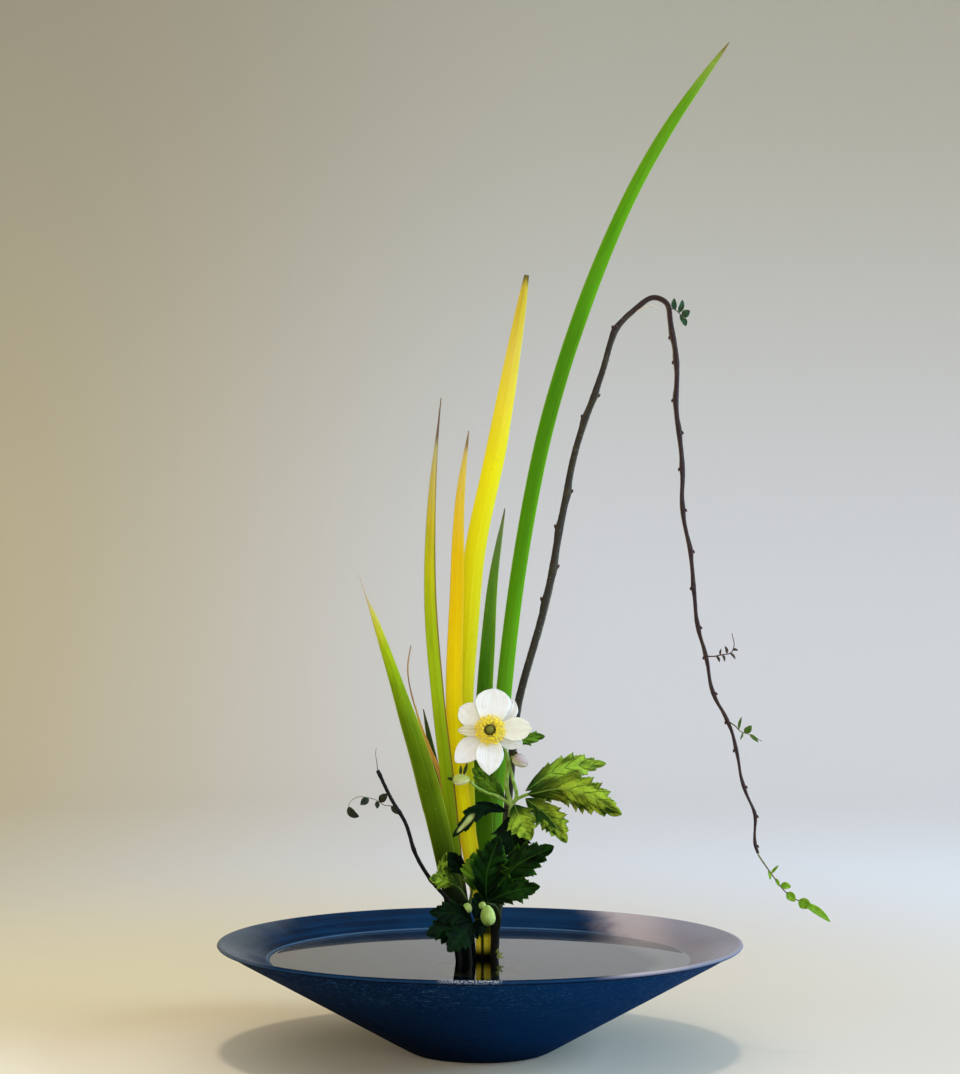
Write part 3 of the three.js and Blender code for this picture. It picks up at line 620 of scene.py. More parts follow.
def makePins():
    # a thin plate with pointed pins in a hexagonal pattern
    low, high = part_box("kenzan_pins")
    radius, step = high[0] - 0.0012, pinHolder["spacing"]
    plateTop = low[2] + 0.0008
    plate = np.array([(0.0004, low[2]), (high[0], low[2]), (high[0], plateTop - 0.0002),
                      (high[0] - 0.0002, plateTop), (0.0004, plateTop)])
    shell = Shell()
    shell.ring(turnedProfile(plate, 96))
    row, column = np.meshgrid(np.arange(-24, 25), np.arange(-24, 25), indexing="ij")
    x = (column + 0.5 * (row % 2)) * step
    y = row * step * 0.866
    keep = np.hypot(x, y) < radius
    places = np.stack([x[keep], y[keep]], -1)
    angle = np.linspace(0, 2 * np.pi, 6, endpoint=False)
    size = pinHolder["pinRadius"]
    rings = [(size * 1.15, plateTop - 0.0001), (size, plateTop + 0.001), (size * 0.8, high[2] - 0.003),
             (size * 0.1, high[2])]
    pin = np.array([[(r * math.cos(a), r * math.sin(a), z) for a in angle] for r, z in rings])
    pin = pin.reshape(-1, 3)
    placed = pin[None] + np.concatenate([places, np.zeros((len(places), 1))], 1)[:, None]
    shell.copies(tubeFaces(4, 6), placed)
    paint = Paint("pinBrass")
    dull = paint.noise(240.0, 3.0)
    tone = paint.mix(dull.rise(0.4, 0.7), *pinHolder["brass"])
    brass = paint.finish(tone, 0.4 + dull * 0.3, dull, distance=0.0001, metallic=0.6)
    shell.piece("pinHolderPins", [brass], ["kenzan_pins"])


makeBowl()
makeWater()
makePinHolder()
makePins()
print("bowl, water and pin holder made")

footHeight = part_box("kenzan_base")[1][2] * 1000 + 1.4  # millimetres, where every stem stands

irisLeaves = {
    "tallGreenLeaf": {
        "node": "iris_tall_green", "slot": "iris_green", "seed": 3,
        "spine": [
            (8, 13, footHeight), (7, 13, 58), (10, 16, 146.5), (16.5, 20, 240), (28.5, 25, 334),
            (46.5, 31, 422.5), (72.5, 38, 504), (101.5, 44, 573), (128, 49, 621), (152, 53, 656.5),
            (171, 56, 682.5)],
        "width": [(0, 9), (0.2, 10.6), (0.42, 11.4), (0.58, 12), (0.7, 11.6), (0.8, 9.6), (0.88, 8.8),
                  (0.94, 6.6), (0.975, 4.2), (1, 0.6)],
        "turn": [(0, 12), (0.3, 20), (0.7, 22), (1, 16)],
        "tones": [(0, 60, 90, 20), (0.2, 100, 146, 32), (0.4, 86, 142, 5), (0.6, 70, 126, 3),
                  (0.8, 84, 140, 6), (0.93, 98, 144, 20), (0.98, 140, 156, 60)],
        "tip": (0.992, (120, 96, 50)), "edge": (150, 192, 60), "shade": (46, 104, 2),
        "sides": ((66, 122, 2), (104, 170, 16)), "shadow": (0.090, 0.130),
    },
    "tallYellowLeaf": {
        "node": "iris_tall_yellow", "slot": "iris_yellow", "seed": 8,
        "spine": [
            (6, 7, footHeight), (6.4, 7, 67), (3.6, 7, 92), (-4, 7, 133), (-8.5, 8, 167.5),
            (-11, 9, 233.5), (-8.5, 10, 274.5), (-3, 12, 334), (11, 14, 401.5), (23, 17, 469),
            (31.5, 19, 519.5)],
        "width": [(0, 6), (0.12, 6.4), (0.22, 11.6), (0.3, 13), (0.55, 14.4), (0.77, 14), (0.85, 12),
                  (0.925, 8.8), (0.98, 5.4), (1, 3)],
        "turn": [(0, 6), (0.5, 14), (1, 10)],
        "tones": [(0, 216, 214, 40), (0.2, 226, 222, 6), (0.35, 204, 196, 3), (0.5, 212, 200, 3),
                  (0.62, 222, 206, 4), (0.74, 238, 218, 12), (0.82, 234, 202, 50), (0.9, 222, 184, 74),
                  (0.95, 204, 168, 54), (0.99, 196, 162, 60)],
        "tip": (0.997, (70, 54, 36)), "edge": (252, 234, 110), "shade": (214, 198, 0),
        "sides": ((226, 202, 20), (236, 226, 50)), "shadow": (0.064, 0.070),
        "shaded": (0.082, 0.120),
    },
    "amberLeaf": {
        "node": "iris_amber", "slot": "iris_amber", "seed": 12,
        "spine": [
            (1.4, -2.9, footHeight), (2.2, -2.9, 64.5), (1.2, -3.2, 90), (-6.5, -4, 134.5),
            (-13.8, -5, 178.5), (-17.4, -6, 234.5), (-15.8, -8, 301), (-13.4, -10, 368),
            (-7.5, -12, 413.5)],
        "width": [(0, 9), (0.14, 10), (0.24, 10.8), (0.32, 11.8), (0.5, 12), (0.68, 10.6), (0.8, 8.8),
                  (0.9, 6), (0.96, 3), (1, 0.6)],
        "turn": [(0, -6), (0.6, -16), (1, -24)],
        "tones": [(0, 238, 226, 100), (0.16, 238, 230, 60), (0.35, 236, 230, 8),
                  (0.5, 240, 224, 4), (0.6, 240, 212, 2), (0.7, 238, 200, 4), (0.8, 232, 190, 22),
                  (0.88, 228, 192, 66), (0.94, 216, 192, 98), (0.99, 196, 176, 136)],
        "tip": (0.975, (136, 108, 84)), "edge": (206, 164, 40), "shade": (232, 188, 4),
        "sides": ((234, 196, 36), (220, 178, 32)), "shadow": (0.0645, 0.073),
        "shaded": (0.080, 0.096),
    },
    "limeLeaf": {
        "node": "iris_lime", "slot": "iris_lime", "seed": 17,
        "spine": [
            (-7.4, -9.5, footHeight), (-5.8, -9.5, 60), (-15, -12, 122.5), (-21.4, -15, 182.5),
            (-27.4, -18, 235), (-32.5, -22, 301.5), (-31.5, -26, 367.5), (-27, -29, 420),
            (-25.5, -30, 434.5)],
        "width": [(0, 6.5), (0.3, 9), (0.6, 9.8), (0.76, 7.8), (0.87, 4.6), (0.94, 1.8), (1, 0.6)],
        "turn": [(0, 4), (0.5, 20), (1, 30)],
        "tones": [(0, 120, 140, 30), (0.25, 96, 124, 6), (0.4, 128, 150, 6), (0.52, 148, 166, 10),
                  (0.64, 160, 170, 8), (0.72, 190, 176, 12), (0.8, 202, 166, 36), (0.87, 206, 170, 84),
                  (0.93, 194, 166, 122)],
        "tip": (0.935, (110, 84, 74)), "edge": (150, 112, 40), "shade": (112, 138, 2),
        "sides": ((160, 184, 20), (152, 146, 30)), "shadow": (0.10, 0.15),
        "rightLine": (112, 74, 26),
    },
    "shortGreenLeaf": {
        "node": "iris_short_green", "slot": "iris_short_green", "seed": 21,
        "spine": [
            (8.6, 1.5, footHeight), (7.8, 1.5, 60), (3.4, 0, 134), (1.5, -2, 201), (3, -4, 241),
            (4.8, -6, 268), (8.8, -9, 316), (16.5, -13, 362)],
        "width": [(0, 8), (0.4, 11.6), (0.6, 11.8), (0.74, 9.8), (0.86, 6.6), (0.94, 3.8), (1, 0.6)],
        "turn": [(0, -4), (0.6, -14), (1, -18)],
        "tones": [(0, 60, 90, 14), (0.3, 72, 120, 12), (0.55, 62, 112, 8), (0.7, 56, 108, 12),
                  (0.8, 74, 122, 28), (0.88, 84, 126, 40), (0.96, 104, 124, 76)],
        "tip": (0.985, (84, 76, 56)), "edge": (120, 160, 70), "shade": (34, 84, 6),
        "sides": ((54, 104, 8), (104, 150, 30)), "shadow": (0.09, 0.135),
    },
    "leftGreenLeaf": {
        "node": "iris_left_green", "slot": "iris_left_green", "seed": 25,
        "spine": [
            (-12, -15, footHeight), (-10.5, -15.5, 62.5), (-22.5, -19, 130.5), (-35, -26, 183.5),
            (-51, -34, 236), (-68.5, -44, 289.5), (-75, -48, 307)],
        "width": [(0, 8), (0.3, 14), (0.55, 14.6), (0.7, 11.6), (0.85, 7.4), (0.94, 4.2), (1, 0.5)],
        "turn": [(0, 4), (0.5, 14), (1, 20)],
        "tones": [(0, 50, 70, 10), (0.35, 70, 96, 6), (0.55, 80, 108, 2), (0.7, 98, 126, 2),
                  (0.8, 136, 162, 4), (0.87, 172, 186, 14), (0.92, 216, 206, 56), (0.97, 220, 200, 106)],
        "tip": (0.972, (196, 172, 132)), "edge": (176, 190, 60), "shade": (54, 80, 1),
        "sides": ((62, 88, 1), (138, 160, 26)), "shadow": (0.095, 0.17),
        "hair": [(-74.8, -48, 306.4), (-76.6, -48.8, 312), (-78.7, -50, 319)],
    },
    "witheredLeaf": {
        "node": "iris_withered", "slot": "iris_withered", "seed": 31,
        "spine": [
            (-17, -4, footHeight), (-14, -4, 60.5), (-19, -7, 130), (-25.5, -11, 183), (-33, -13, 202),
            (-40, -15, 221), (-43.5, -17, 233), (-47, -18, 248), (-47.6, -19, 258), (-45.6, -20, 271.6)],
        "width": [(0, 3), (0.4, 4.4), (0.72, 5.4), (0.8, 5.8), (0.86, 3.4), (0.89, 1.4), (0.95, 1.4),
                  (1, 0.7)],
        "turn": [(0, 0), (0.5, 20), (0.8, 80), (1, 160)],
        "tones": [(0, 110, 96, 30), (0.5, 190, 150, 50), (0.72, 216, 150, 60),
                  (0.8, 212, 180, 78), (0.87, 150, 112, 70), (0.9, 70, 52, 40), (0.94, 170, 140, 110)],
        "tip": (0.985, (150, 128, 100)), "edge": (150, 96, 50), "shade": (176, 118, 50),
        "sides": ((230, 190, 90), (180, 120, 60)), "shadow": (0.09, 0.15),
    },
    "smallDarkLeaf": {
        "node": "iris_small_dark", "slot": "iris_dark", "seed": 36,
        "spine": [
            (-15, 6, footHeight), (-12, 6, 59), (-23, 8, 153), (-27.6, 9, 177), (-34, 11, 208),
            (-38, 12, 227.5)],
        "width": [(0, 4), (0.5, 6.4), (0.8, 6), (0.93, 3.4), (1, 0.6)],
        "turn": [(0, 0), (1, 16)],
        "tones": [(0, 30, 56, 10), (0.5, 40, 72, 6), (0.85, 34, 60, 6), (0.95, 54, 60, 34)],
        "tip": (0.97, (70, 64, 54)), "edge": (60, 96, 24), "shade": (14, 36, 4),
        "sides": ((50, 84, 10), (24, 48, 4)), "shadow": (0.09, 0.15),
    },
}


# painted shade tones: the shaded feet, the covered stretch and a dark line down the middle
deepShade = {"tone": (0.0006, 0.0012, 0.0004, 1.0), "covered": (0.004, 0.010, 0.001, 1.0),
             "fold": (0.002, 0.005, 0.001, 1.0)}


def inShade(paint, tone, low, high):
    # the crowded feet of the stems stand in deep shade, which thins out with height
    return paint.mix(paint.z.rise(low, high), deepShade["tone"], tone)


def irisPaint(name, leaf):
    # tones run from foot to tip and drift from one margin to the other, partly as painted light and
    # shade from the side; fine veins run side by side along the leaf; the margins are a thin line of
    # their own; the tip dries past a ragged edge
    paint = Paint(name)
    left, right = leaf["sides"]
    tone = paint.ramp(paint.along, leaf["tones"])
    # partly painted light and shade: each margin is drawn towards its own side tone, less so near the tip
    middle = paint.along.rise(0.7, 0.92, 1.0, 0.25)
    tone = paint.mix(paint.across.rise(0.02, 0.42, 0.55, 0.0) * middle, tone, left)
    tone = paint.mix(paint.across.rise(0.6, 0.98, 0.0, 0.55) * middle, tone, right)
    cloud = paint.streaks(9.0, 1.6, 1.6, 4.0)
    streak = paint.streaks(3.0, 34.0, 1.0, 3.0, 0.6)
    vein = (paint.across * 150.0 + streak * 4.0).wave()
    tone = paint.mix(cloud.rise(0.42, 0.75) * 0.35, tone, leaf["shade"])
    tone = paint.mix(vein.rise(-0.2, 1.0) * 0.16, tone, leaf["shade"])
    tone = paint.mix(streak.rise(0.5, 0.8) * 0.22, tone, leaf["edge"])
    fromMiddle = (paint.across - 0.5).size() * 2.0
    tone = paint.mix(fromMiddle.rise(0.9, 0.985) * 0.6, tone, leaf["edge"])
    if "rightLine" in leaf:  # one margin is dry and brown
        dryLine = paint.across.rise(0.80, 0.93) * cloud.rise(0.25, 0.5, 0.5, 0.9)
        tone = paint.mix(dryLine, tone, leaf["rightLine"])
    start, dry = leaf["tip"]
    ragged = paint.along + (streak - 0.5) * 0.03 + fromMiddle * 0.008
    tone = paint.mix(ragged.rise(start - 0.012, start + 0.008), tone, dry)
    speck = paint.cells(60.0, 4.0)
    tone = paint.mix(speck.rise(0.05, 0.10, 0.35, 0.0), tone, dry)
    blot = paint.streaks(34.0, 3.0, 1.0, 2.0, 0.4)
    tone = paint.mix(blot.rise(0.70, 0.76) * paint.along.rise(0.45, 0.7) * 0.4, tone, dry)
    tone = inShade(paint, tone, *leaf["shadow"])
    if "shaded" in leaf:  # a leaf in front keeps this stretch in the dark
        low, high = leaf["shaded"]
        covered = paint.z.rise(low - 0.004, low) * paint.z.rise(high - 0.002, high + 0.006, 1.0, 0.0)
        tone = paint.mix(covered * 0.93, tone, deepShade["covered"])
        # painted shade: a dark line down the middle of the foot, below the covered stretch
        middleShadeLine = (paint.across - 0.46).size().rise(0.05, 0.12, 1.0, 0.0)
        middleShadeLine = middleShadeLine * paint.z.rise(0.085, 0.095, 1.0, 0.0)
        tone = paint.mix(middleShadeLine * 0.95, tone, deepShade["fold"])
    dull = paint.z.rise(0.06, 0.12, 0.4, 0.0)
    return paint.finish(tone, 0.44 + streak * 0.16 + dull, vein * 0.3 + streak * 0.6,
                        distance=0.00025, strength=0.5, specular=0.04,
                        glow=0.16, glowScale=0.004, glowRadius=(1.0, 1.0, 0.2))


irisShape = {"rows": 260, "columns": 25, "trough": 0.16, "midrib": 0.00025, "margin": 0.0001,
             "thickness": [(0, 0.0026), (0.2, 0.0019), (0.6, 0.0011), (1, 0.0004)]}


def makeIrisLeaf(name, leaf):
    # a shallow trough across: lift grows with the square of the distance from the middle, with a
    # raised midrib, slow waves along the margins and a thickness that thins to the margins
    rows, columns = irisShape["rows"], irisShape["columns"]
    path = smoothPath(mm(leaf["spine"]), rows)
    u = np.linspace(0, 1, rows)
    v = np.linspace(-1, 1, columns)[None]
    right, out = axesAlong(path, turn=between(u, leaf["turn"]))
    half = between(u, leaf["width"]) * 0.0005
    kernel = np.hanning(17)[1:-1]
    smooth = np.convolve(np.pad(half, 7, mode="edge"), kernel / kernel.sum(), "valid")
    half = np.where(u > 0.97, np.minimum(smooth, half * 1.05), smooth)[:, None]
    wave = ripple(u, leaf["seed"])[:, None]
    other = ripple(u, leaf["seed"] + 100, 6)[:, None]
    lift = irisShape["midrib"] * np.exp(-(v / 0.12) ** 2) * (half > 0.002)
    lift = lift - irisShape["trough"] * half * v ** 2
    lift = lift + half * 0.07 * wave * v + half * 0.05 * other * np.abs(v) ** 3 * np.sign(v + wave)
    side = v * half * (1 + 0.02 * other)
    sheet = path[:, None] + right[:, None] * side[..., None] + out[:, None] * lift[..., None]
    body = between(u, irisShape["thickness"])[:, None]
    thick = np.minimum(body, half * 0.5) * (1 - 0.86 * v ** 2) + irisShape["margin"]
    grid, around, under = closedSheet(sheet, thick)
    shell = Shell()
    shell.ring(grid, around=around, under=under)
    if "hair" in leaf:  # a dry hair stands on the tip
        hair = smoothPath(mm(leaf["hair"]), 14)
        shell.ring(tube(hair, np.linspace(0.0004, 0.00012, 14), 5), alongSpan=(0.98, 1))
    shell.piece(name, [irisPaint(name + "Skin", leaf)], [leaf["node"]])


for leafName, leafFacts in irisLeaves.items():
    makeIrisLeaf(leafName, leafFacts)
print("iris leaves made")

longBranch = {
    "spine": [
        (9.4, -6, footHeight), (9.8, -6, 72), (12.6, -6, 102), (19, -3, 168.5), (24, 2, 221),
        (27, 4, 238), (44.5, 11, 301), (53.5, 16, 348), (57.5, 18, 368), (64.5, 21, 401.5),
        (82, 25, 452.5), (92.5, 28, 484), (106.5, 30, 498.5), (116, 31, 505), (122, 31, 504.5),
        (127, 30, 500.5), (129, 28, 488), (133, 26, 461.5), (132.5, 23, 429), (136.5, 20, 390.5),
        (136, 17, 362), (141, 14, 334), (143.5, 10, 309), (145.5, 6, 283), (151, 2, 264), (155, -3, 239),
        (164.5, -6, 221.5), (170, -9, 203.5), (174, -12, 179), (181.5, -15, 159.5), (181.5, -17, 140),
        (183.5, -18, 134)],
    "rows": 1100, "columns": 18, "budSwell": 0.00042, "budStep": 0.00035, "flutes": 0.04,
    "roughness": 0.045,
    "size": [(0, 5.8), (0.3, 5.2), (0.5, 4.2), (0.6, 3.6), (0.75, 2.8), (0.88, 2.2), (1, 1.5)],
    "buds": [  # place on the branch, and which side the bud sits on
        ((40, 9, 300), -1), ((52, 14, 322), 1), ((51, 15, 349), -1), ((60, 18, 373), 1),
        ((68, 22, 423), -1), ((76, 24, 438), 1), ((90, 27, 483), -1), ((127, 29, 479), 1),
        ((131, 27, 462), 1), ((132, 24, 436), 1), ((131, 23, 414), -1), ((135, 20, 390), 1),
        ((136, 17, 362), -1), ((140, 15, 334), -1), ((142, 12, 309), 1), ((145, 6, 283), -1),
        ((151, 2, 264), 1), ((155, -3, 239), -1), ((164, -6, 221), 1), ((170, -9, 203), 1),
        ((175, -12, 178), -1), ((182, -15, 159), -1), ((182, -17, 139), -1)],
    "splinter": [(104.6, 28.2, 494.2), (107.5, 28.2, 496.6), (111, 28, 498), (115.5, 27.6, 499.4),
                 (120, 27.8, 497.6), (122.6, 28, 494.4)],
    "barks": {  # tone low down, tone further up, worn streaks, painted highlight tone for one side, place of the turn
        "branchBark": ((44, 38, 28), (44, 24, 26), (96, 88, 60), (140, 132, 108), 0.55),
        "budScale": ((56, 36, 30), (70, 30, 32), (96, 66, 54), (110, 80, 66), 0.5),
        "tornWood": ((226, 214, 186), (226, 214, 186), (178, 158, 124), (244, 238, 220), 0.5)},
}
shortBranch = {
    "spine": [
        (-14, -21, footHeight), (-12.5, -21.5, 58.5), (-19.5, -23.5, 101.5), (-26.5, -25.5, 110.5),
        (-32.5, -28, 118), (-42, -35, 135), (-48.5, -44, 156.5), (-57.5, -52, 173), (-66, -60, 192)],
    "size": [(0, 3.2), (0.6, 2.6), (1, 2.3)],
    "rows": 320, "columns": 14, "knotHeight": 0.0003, "knotSpread": 0.012, "roughness": 0.05,
    "knots": (0.42, 0.55, 0.68, 0.83, 0.985),
    "whisker": [(-66, -60, 191), (-66.6, -60.6, 197), (-67.4, -61, 203), (-67, -61, 207)],
    "bark": ((18, 13, 12), (16, 11, 11), (44, 36, 32), (70, 60, 54), 0.5),
}


barkMarks = {"patch": (14, 11, 11), "pore": (120, 108, 90)}


def barkPaint(name, low, high, worn, light, turnsAt, shadow=(0.08, 0.15)):
    # dark bark that turns to a second tone past a place along the branch, streaked along its
    # length, with a painted highlight along one side and breathing pores stretched round the stem
    paint = Paint(name)
    streak = paint.streaks(90.0, 5.0, 1.0, 5.0, 0.65)
    patch = paint.streaks(26.0, 1.2, 1.0, 3.0)
    tone = paint.mix(paint.along.rise(turnsAt - 0.08, turnsAt + 0.04), low, high)
    tone = paint.mix(streak.rise(0.5, 0.78) * 0.5, tone, worn)
    # painted highlight: a lighter line along one side of the stem, broken by patches
    side = (paint.across - 0.02).size().rise(0.03, 0.14, 1.0, 0.0)
    side = side + (paint.across - 0.98).size().rise(0.0, 0.1, 1.0, 0.0)
    tone = paint.mix(side * patch.rise(0.3, 0.6) * 0.55, tone, light)
    tone = paint.mix(patch.rise(0.55, 0.8) * 0.4, tone, barkMarks["patch"])
    pore = paint.cells(330.0, 5.0)
    tone = paint.mix(pore.rise(0.10, 0.18, 0.5, 0.0), tone, barkMarks["pore"])
    height = streak + pore.rise(0.1, 0.3, 0.5, 0.0)
    tone = inShade(paint, tone, *shadow)
    return paint.finish(tone, 0.5 + streak * 0.25, height, distance=0.0005, strength=0.8, specular=0.2)


def addBud(shell, foot, direction, length, width):
    # a pointed bud: radius is the half sine of the way along, drawn out towards the tip
    t = np.linspace(0, 1, 10)
    path = foot + direction * length * t[:, None]
    radius = width / 2 * np.sin(np.pi * np.clip(t * 0.86 + 0.14, 0, 1)) ** 0.8 + 0.00006
    shell.ring(tube(path, radius, 8, face=(0.3, -0.9, 0.2)), slot=1)


def makeLongBranch():
    rows, columns = longBranch["rows"], longBranch["columns"]
    path = smoothPath(mm(longBranch["spine"]), rows)
    u = np.linspace(0, 1, rows)
    radius = between(u, longBranch["size"]) * 0.0005
    right, out = axesAlong(path)
    budPlaces = []
    for place, side in longBranch["buds"]:
        nearest = int(np.argmin(np.linalg.norm(path - mm(place), axis=1)))
        budPlaces.append((nearest, side))
        swell = np.exp(-((np.arange(rows) - nearest) / 7.0) ** 2)
        radius = radius + longBranch["budSwell"] * swell
        path = path + right * (side * longBranch["budStep"] * swell)[:, None]
    angle = np.linspace(0, 2 * np.pi, columns, endpoint=False)[None]
    rng = np.random.default_rng(5)
    rough = rng.normal(0, 1, (rows, columns))
    rough = (rough + np.roll(rough, 1, 1) + np.roll(rough, 1, 0) + np.roll(rough, -1, 0)) / 4
    flutes = np.sin(3 * angle + 24 * u[:, None]) * longBranch["flutes"]
    wall = radius[:, None] * (1 + flutes + longBranch["roughness"] * rough)
    shell = Shell()
    shell.ring(tube(path, wall, columns))
    tangent = unit(np.gradient(path, axis=0))
    for nearest, side in budPlaces:
        foot = path[nearest] + right[nearest] * side * radius[nearest] * 0.7
        lean = unit(tangent[nearest] * 1.1 + right[nearest] * side * 0.6 + out[nearest] * 0.15)
        addBud(shell, foot, lean, 0.0020 + radius[nearest] * 0.5, 0.0010 + radius[nearest] * 0.35)
    addSplinter(shell)
    barks = [barkPaint(name, *tones) for name, tones in longBranch["barks"].items()]
    shell.piece("longBranch", barks, ["branch_main"])


def addSplinter(shell):
    # a strip of pale wood torn loose under the bend
    path = smoothPath(mm(longBranch["splinter"]), 34)
    right = axesAlong(path, face=(0, 0, 1))[0]
    v = np.linspace(-1, 1, 7)[None]
    half = (0.0011 * np.sin(np.pi * np.linspace(0.06, 0.98, 34)) + 0.00012)[:, None]
    sheet = path[:, None] + right[:, None] * (v * half)[..., None]
    grid, around, under = closedSheet(sheet, 0.0009 * (1 - 0.7 * v ** 2) * half / 0.0011)
    shell.ring(grid, slot=2, around=around, under=under)


def makeShortBranch():
    rows, columns = shortBranch["rows"], shortBranch["columns"]
    path = smoothPath(mm(shortBranch["spine"]), rows)
    u = np.linspace(0, 1, rows)
    knots = sum(np.exp(-((u - k) / shortBranch["knotSpread"]) ** 2) for k in shortBranch["knots"])
    radius = between(u, shortBranch["size"]) * 0.0005 + shortBranch["knotHeight"] * knots
    rough = np.random.default_rng(6).normal(0, shortBranch["roughness"], (rows, columns))
    shell = Shell()
    shell.ring(tube(path, radius[:, None] * (1 + (rough + np.roll(rough, 1, 0)) / 2), columns))
    whisker = smoothPath(mm(shortBranch["whisker"]), 16)
    shell.ring(tube(whisker, np.linspace(0.0003, 0.00012, 16), 5))
    shell.piece("shortBranch", [barkPaint("shortBark", *shortBranch["bark"])],
                ["branch_short"])


makeLongBranch()
makeShortBranch()
print("branches made")


def twigLeafPaint(name, tone, edge, back):
    # veins fan from the middle: the phase is along minus the distance from the midrib
    paint = Paint(name)
    fromMiddle = (paint.across - 0.5).size() * 2.0
    vein = ((paint.along - fromMiddle * 0.3) * 44.0).wave()
    cloud = paint.noise(420.0, 3.0)
    look = paint.mix(cloud.rise(0.4, 0.75) * 0.7, tone, edge)
    look = paint.mix(vein.rise(0.4, 1.0) * 0.25, look, edge)
    look = paint.mix(paint.attribute("under") * 0.5, look, back)
    look = paint.mix(fromMiddle.rise(0.0, 0.16, 0.4, 0.0), look, edge)
    look = paint.mix(fromMiddle.rise(0.86, 1.0) * 0.6, look, edge)
    return paint.finish(look, 0.5 + cloud * 0.1, vein + cloud, distance=0.0002, strength=0.5,
                        specular=0.2, glow=0.1, glowScale=0.003)


def stemPaint(name, tone, second, pale, shadow=(0.08, 0.15)):
    # a soft skin with lengthwise streaks and a paler bloom
    paint = Paint(name)
    streak = paint.streaks(12.0, 9.0, 1.0, 3.0)
    bloom = paint.noise(130.0, 4.0)
    look = paint.mix(streak.rise(0.35, 0.7), tone, second)
    look = paint.mix(bloom.rise(0.45, 0.7) * 0.6, look, pale)
    down = paint.noise(1900.0, 1.0)
    look = inShade(paint, look, *shadow)
    return paint.finish(look, 0.5 + streak * 0.15, streak + down * 0.5, distance=0.0002, strength=0.5,
                        specular=0.2, glow=0.1, glowScale=0.003)


def addLeaflet(shell, start, end, width, bow=0.0, fold=0.25, seed=0):
    # a small oval blade: its half width is a power of the half sine, folded up from its midrib
    start, end = mm(start), mm(end)
    side = unit(np.cross([0.0, -1.0, 0.0], end - start))
    middle = (start + end) / 2 + side * bow * 0.001
    rows, columns = 22, 9
    path = smoothPath([start, middle, end], rows)
    u = np.linspace(0, 1, rows)[:, None]
    v = np.linspace(-1, 1, columns)[None]
    right, out = axesAlong(path, turn=12 * math.sin(seed * 2.1))
    half = width * 0.0005 * np.sin(np.pi * np.clip(u ** 0.85, 0, 1)) ** 0.75 + 0.00012
    lift = fold * half * np.abs(v) + 0.12 * half * np.sin(7 * u + seed)
    sheet = path[:, None] + right[:, None] * (v * half)[..., None] + out[:, None] * lift[..., None]
    grid, around, under = closedSheet(sheet, 0.00028 * (1 - 0.6 * v ** 2) + 0 * half)
    shell.ring(grid, slot=1, around=around, under=under, seed=(seed * 0.37) % 1)


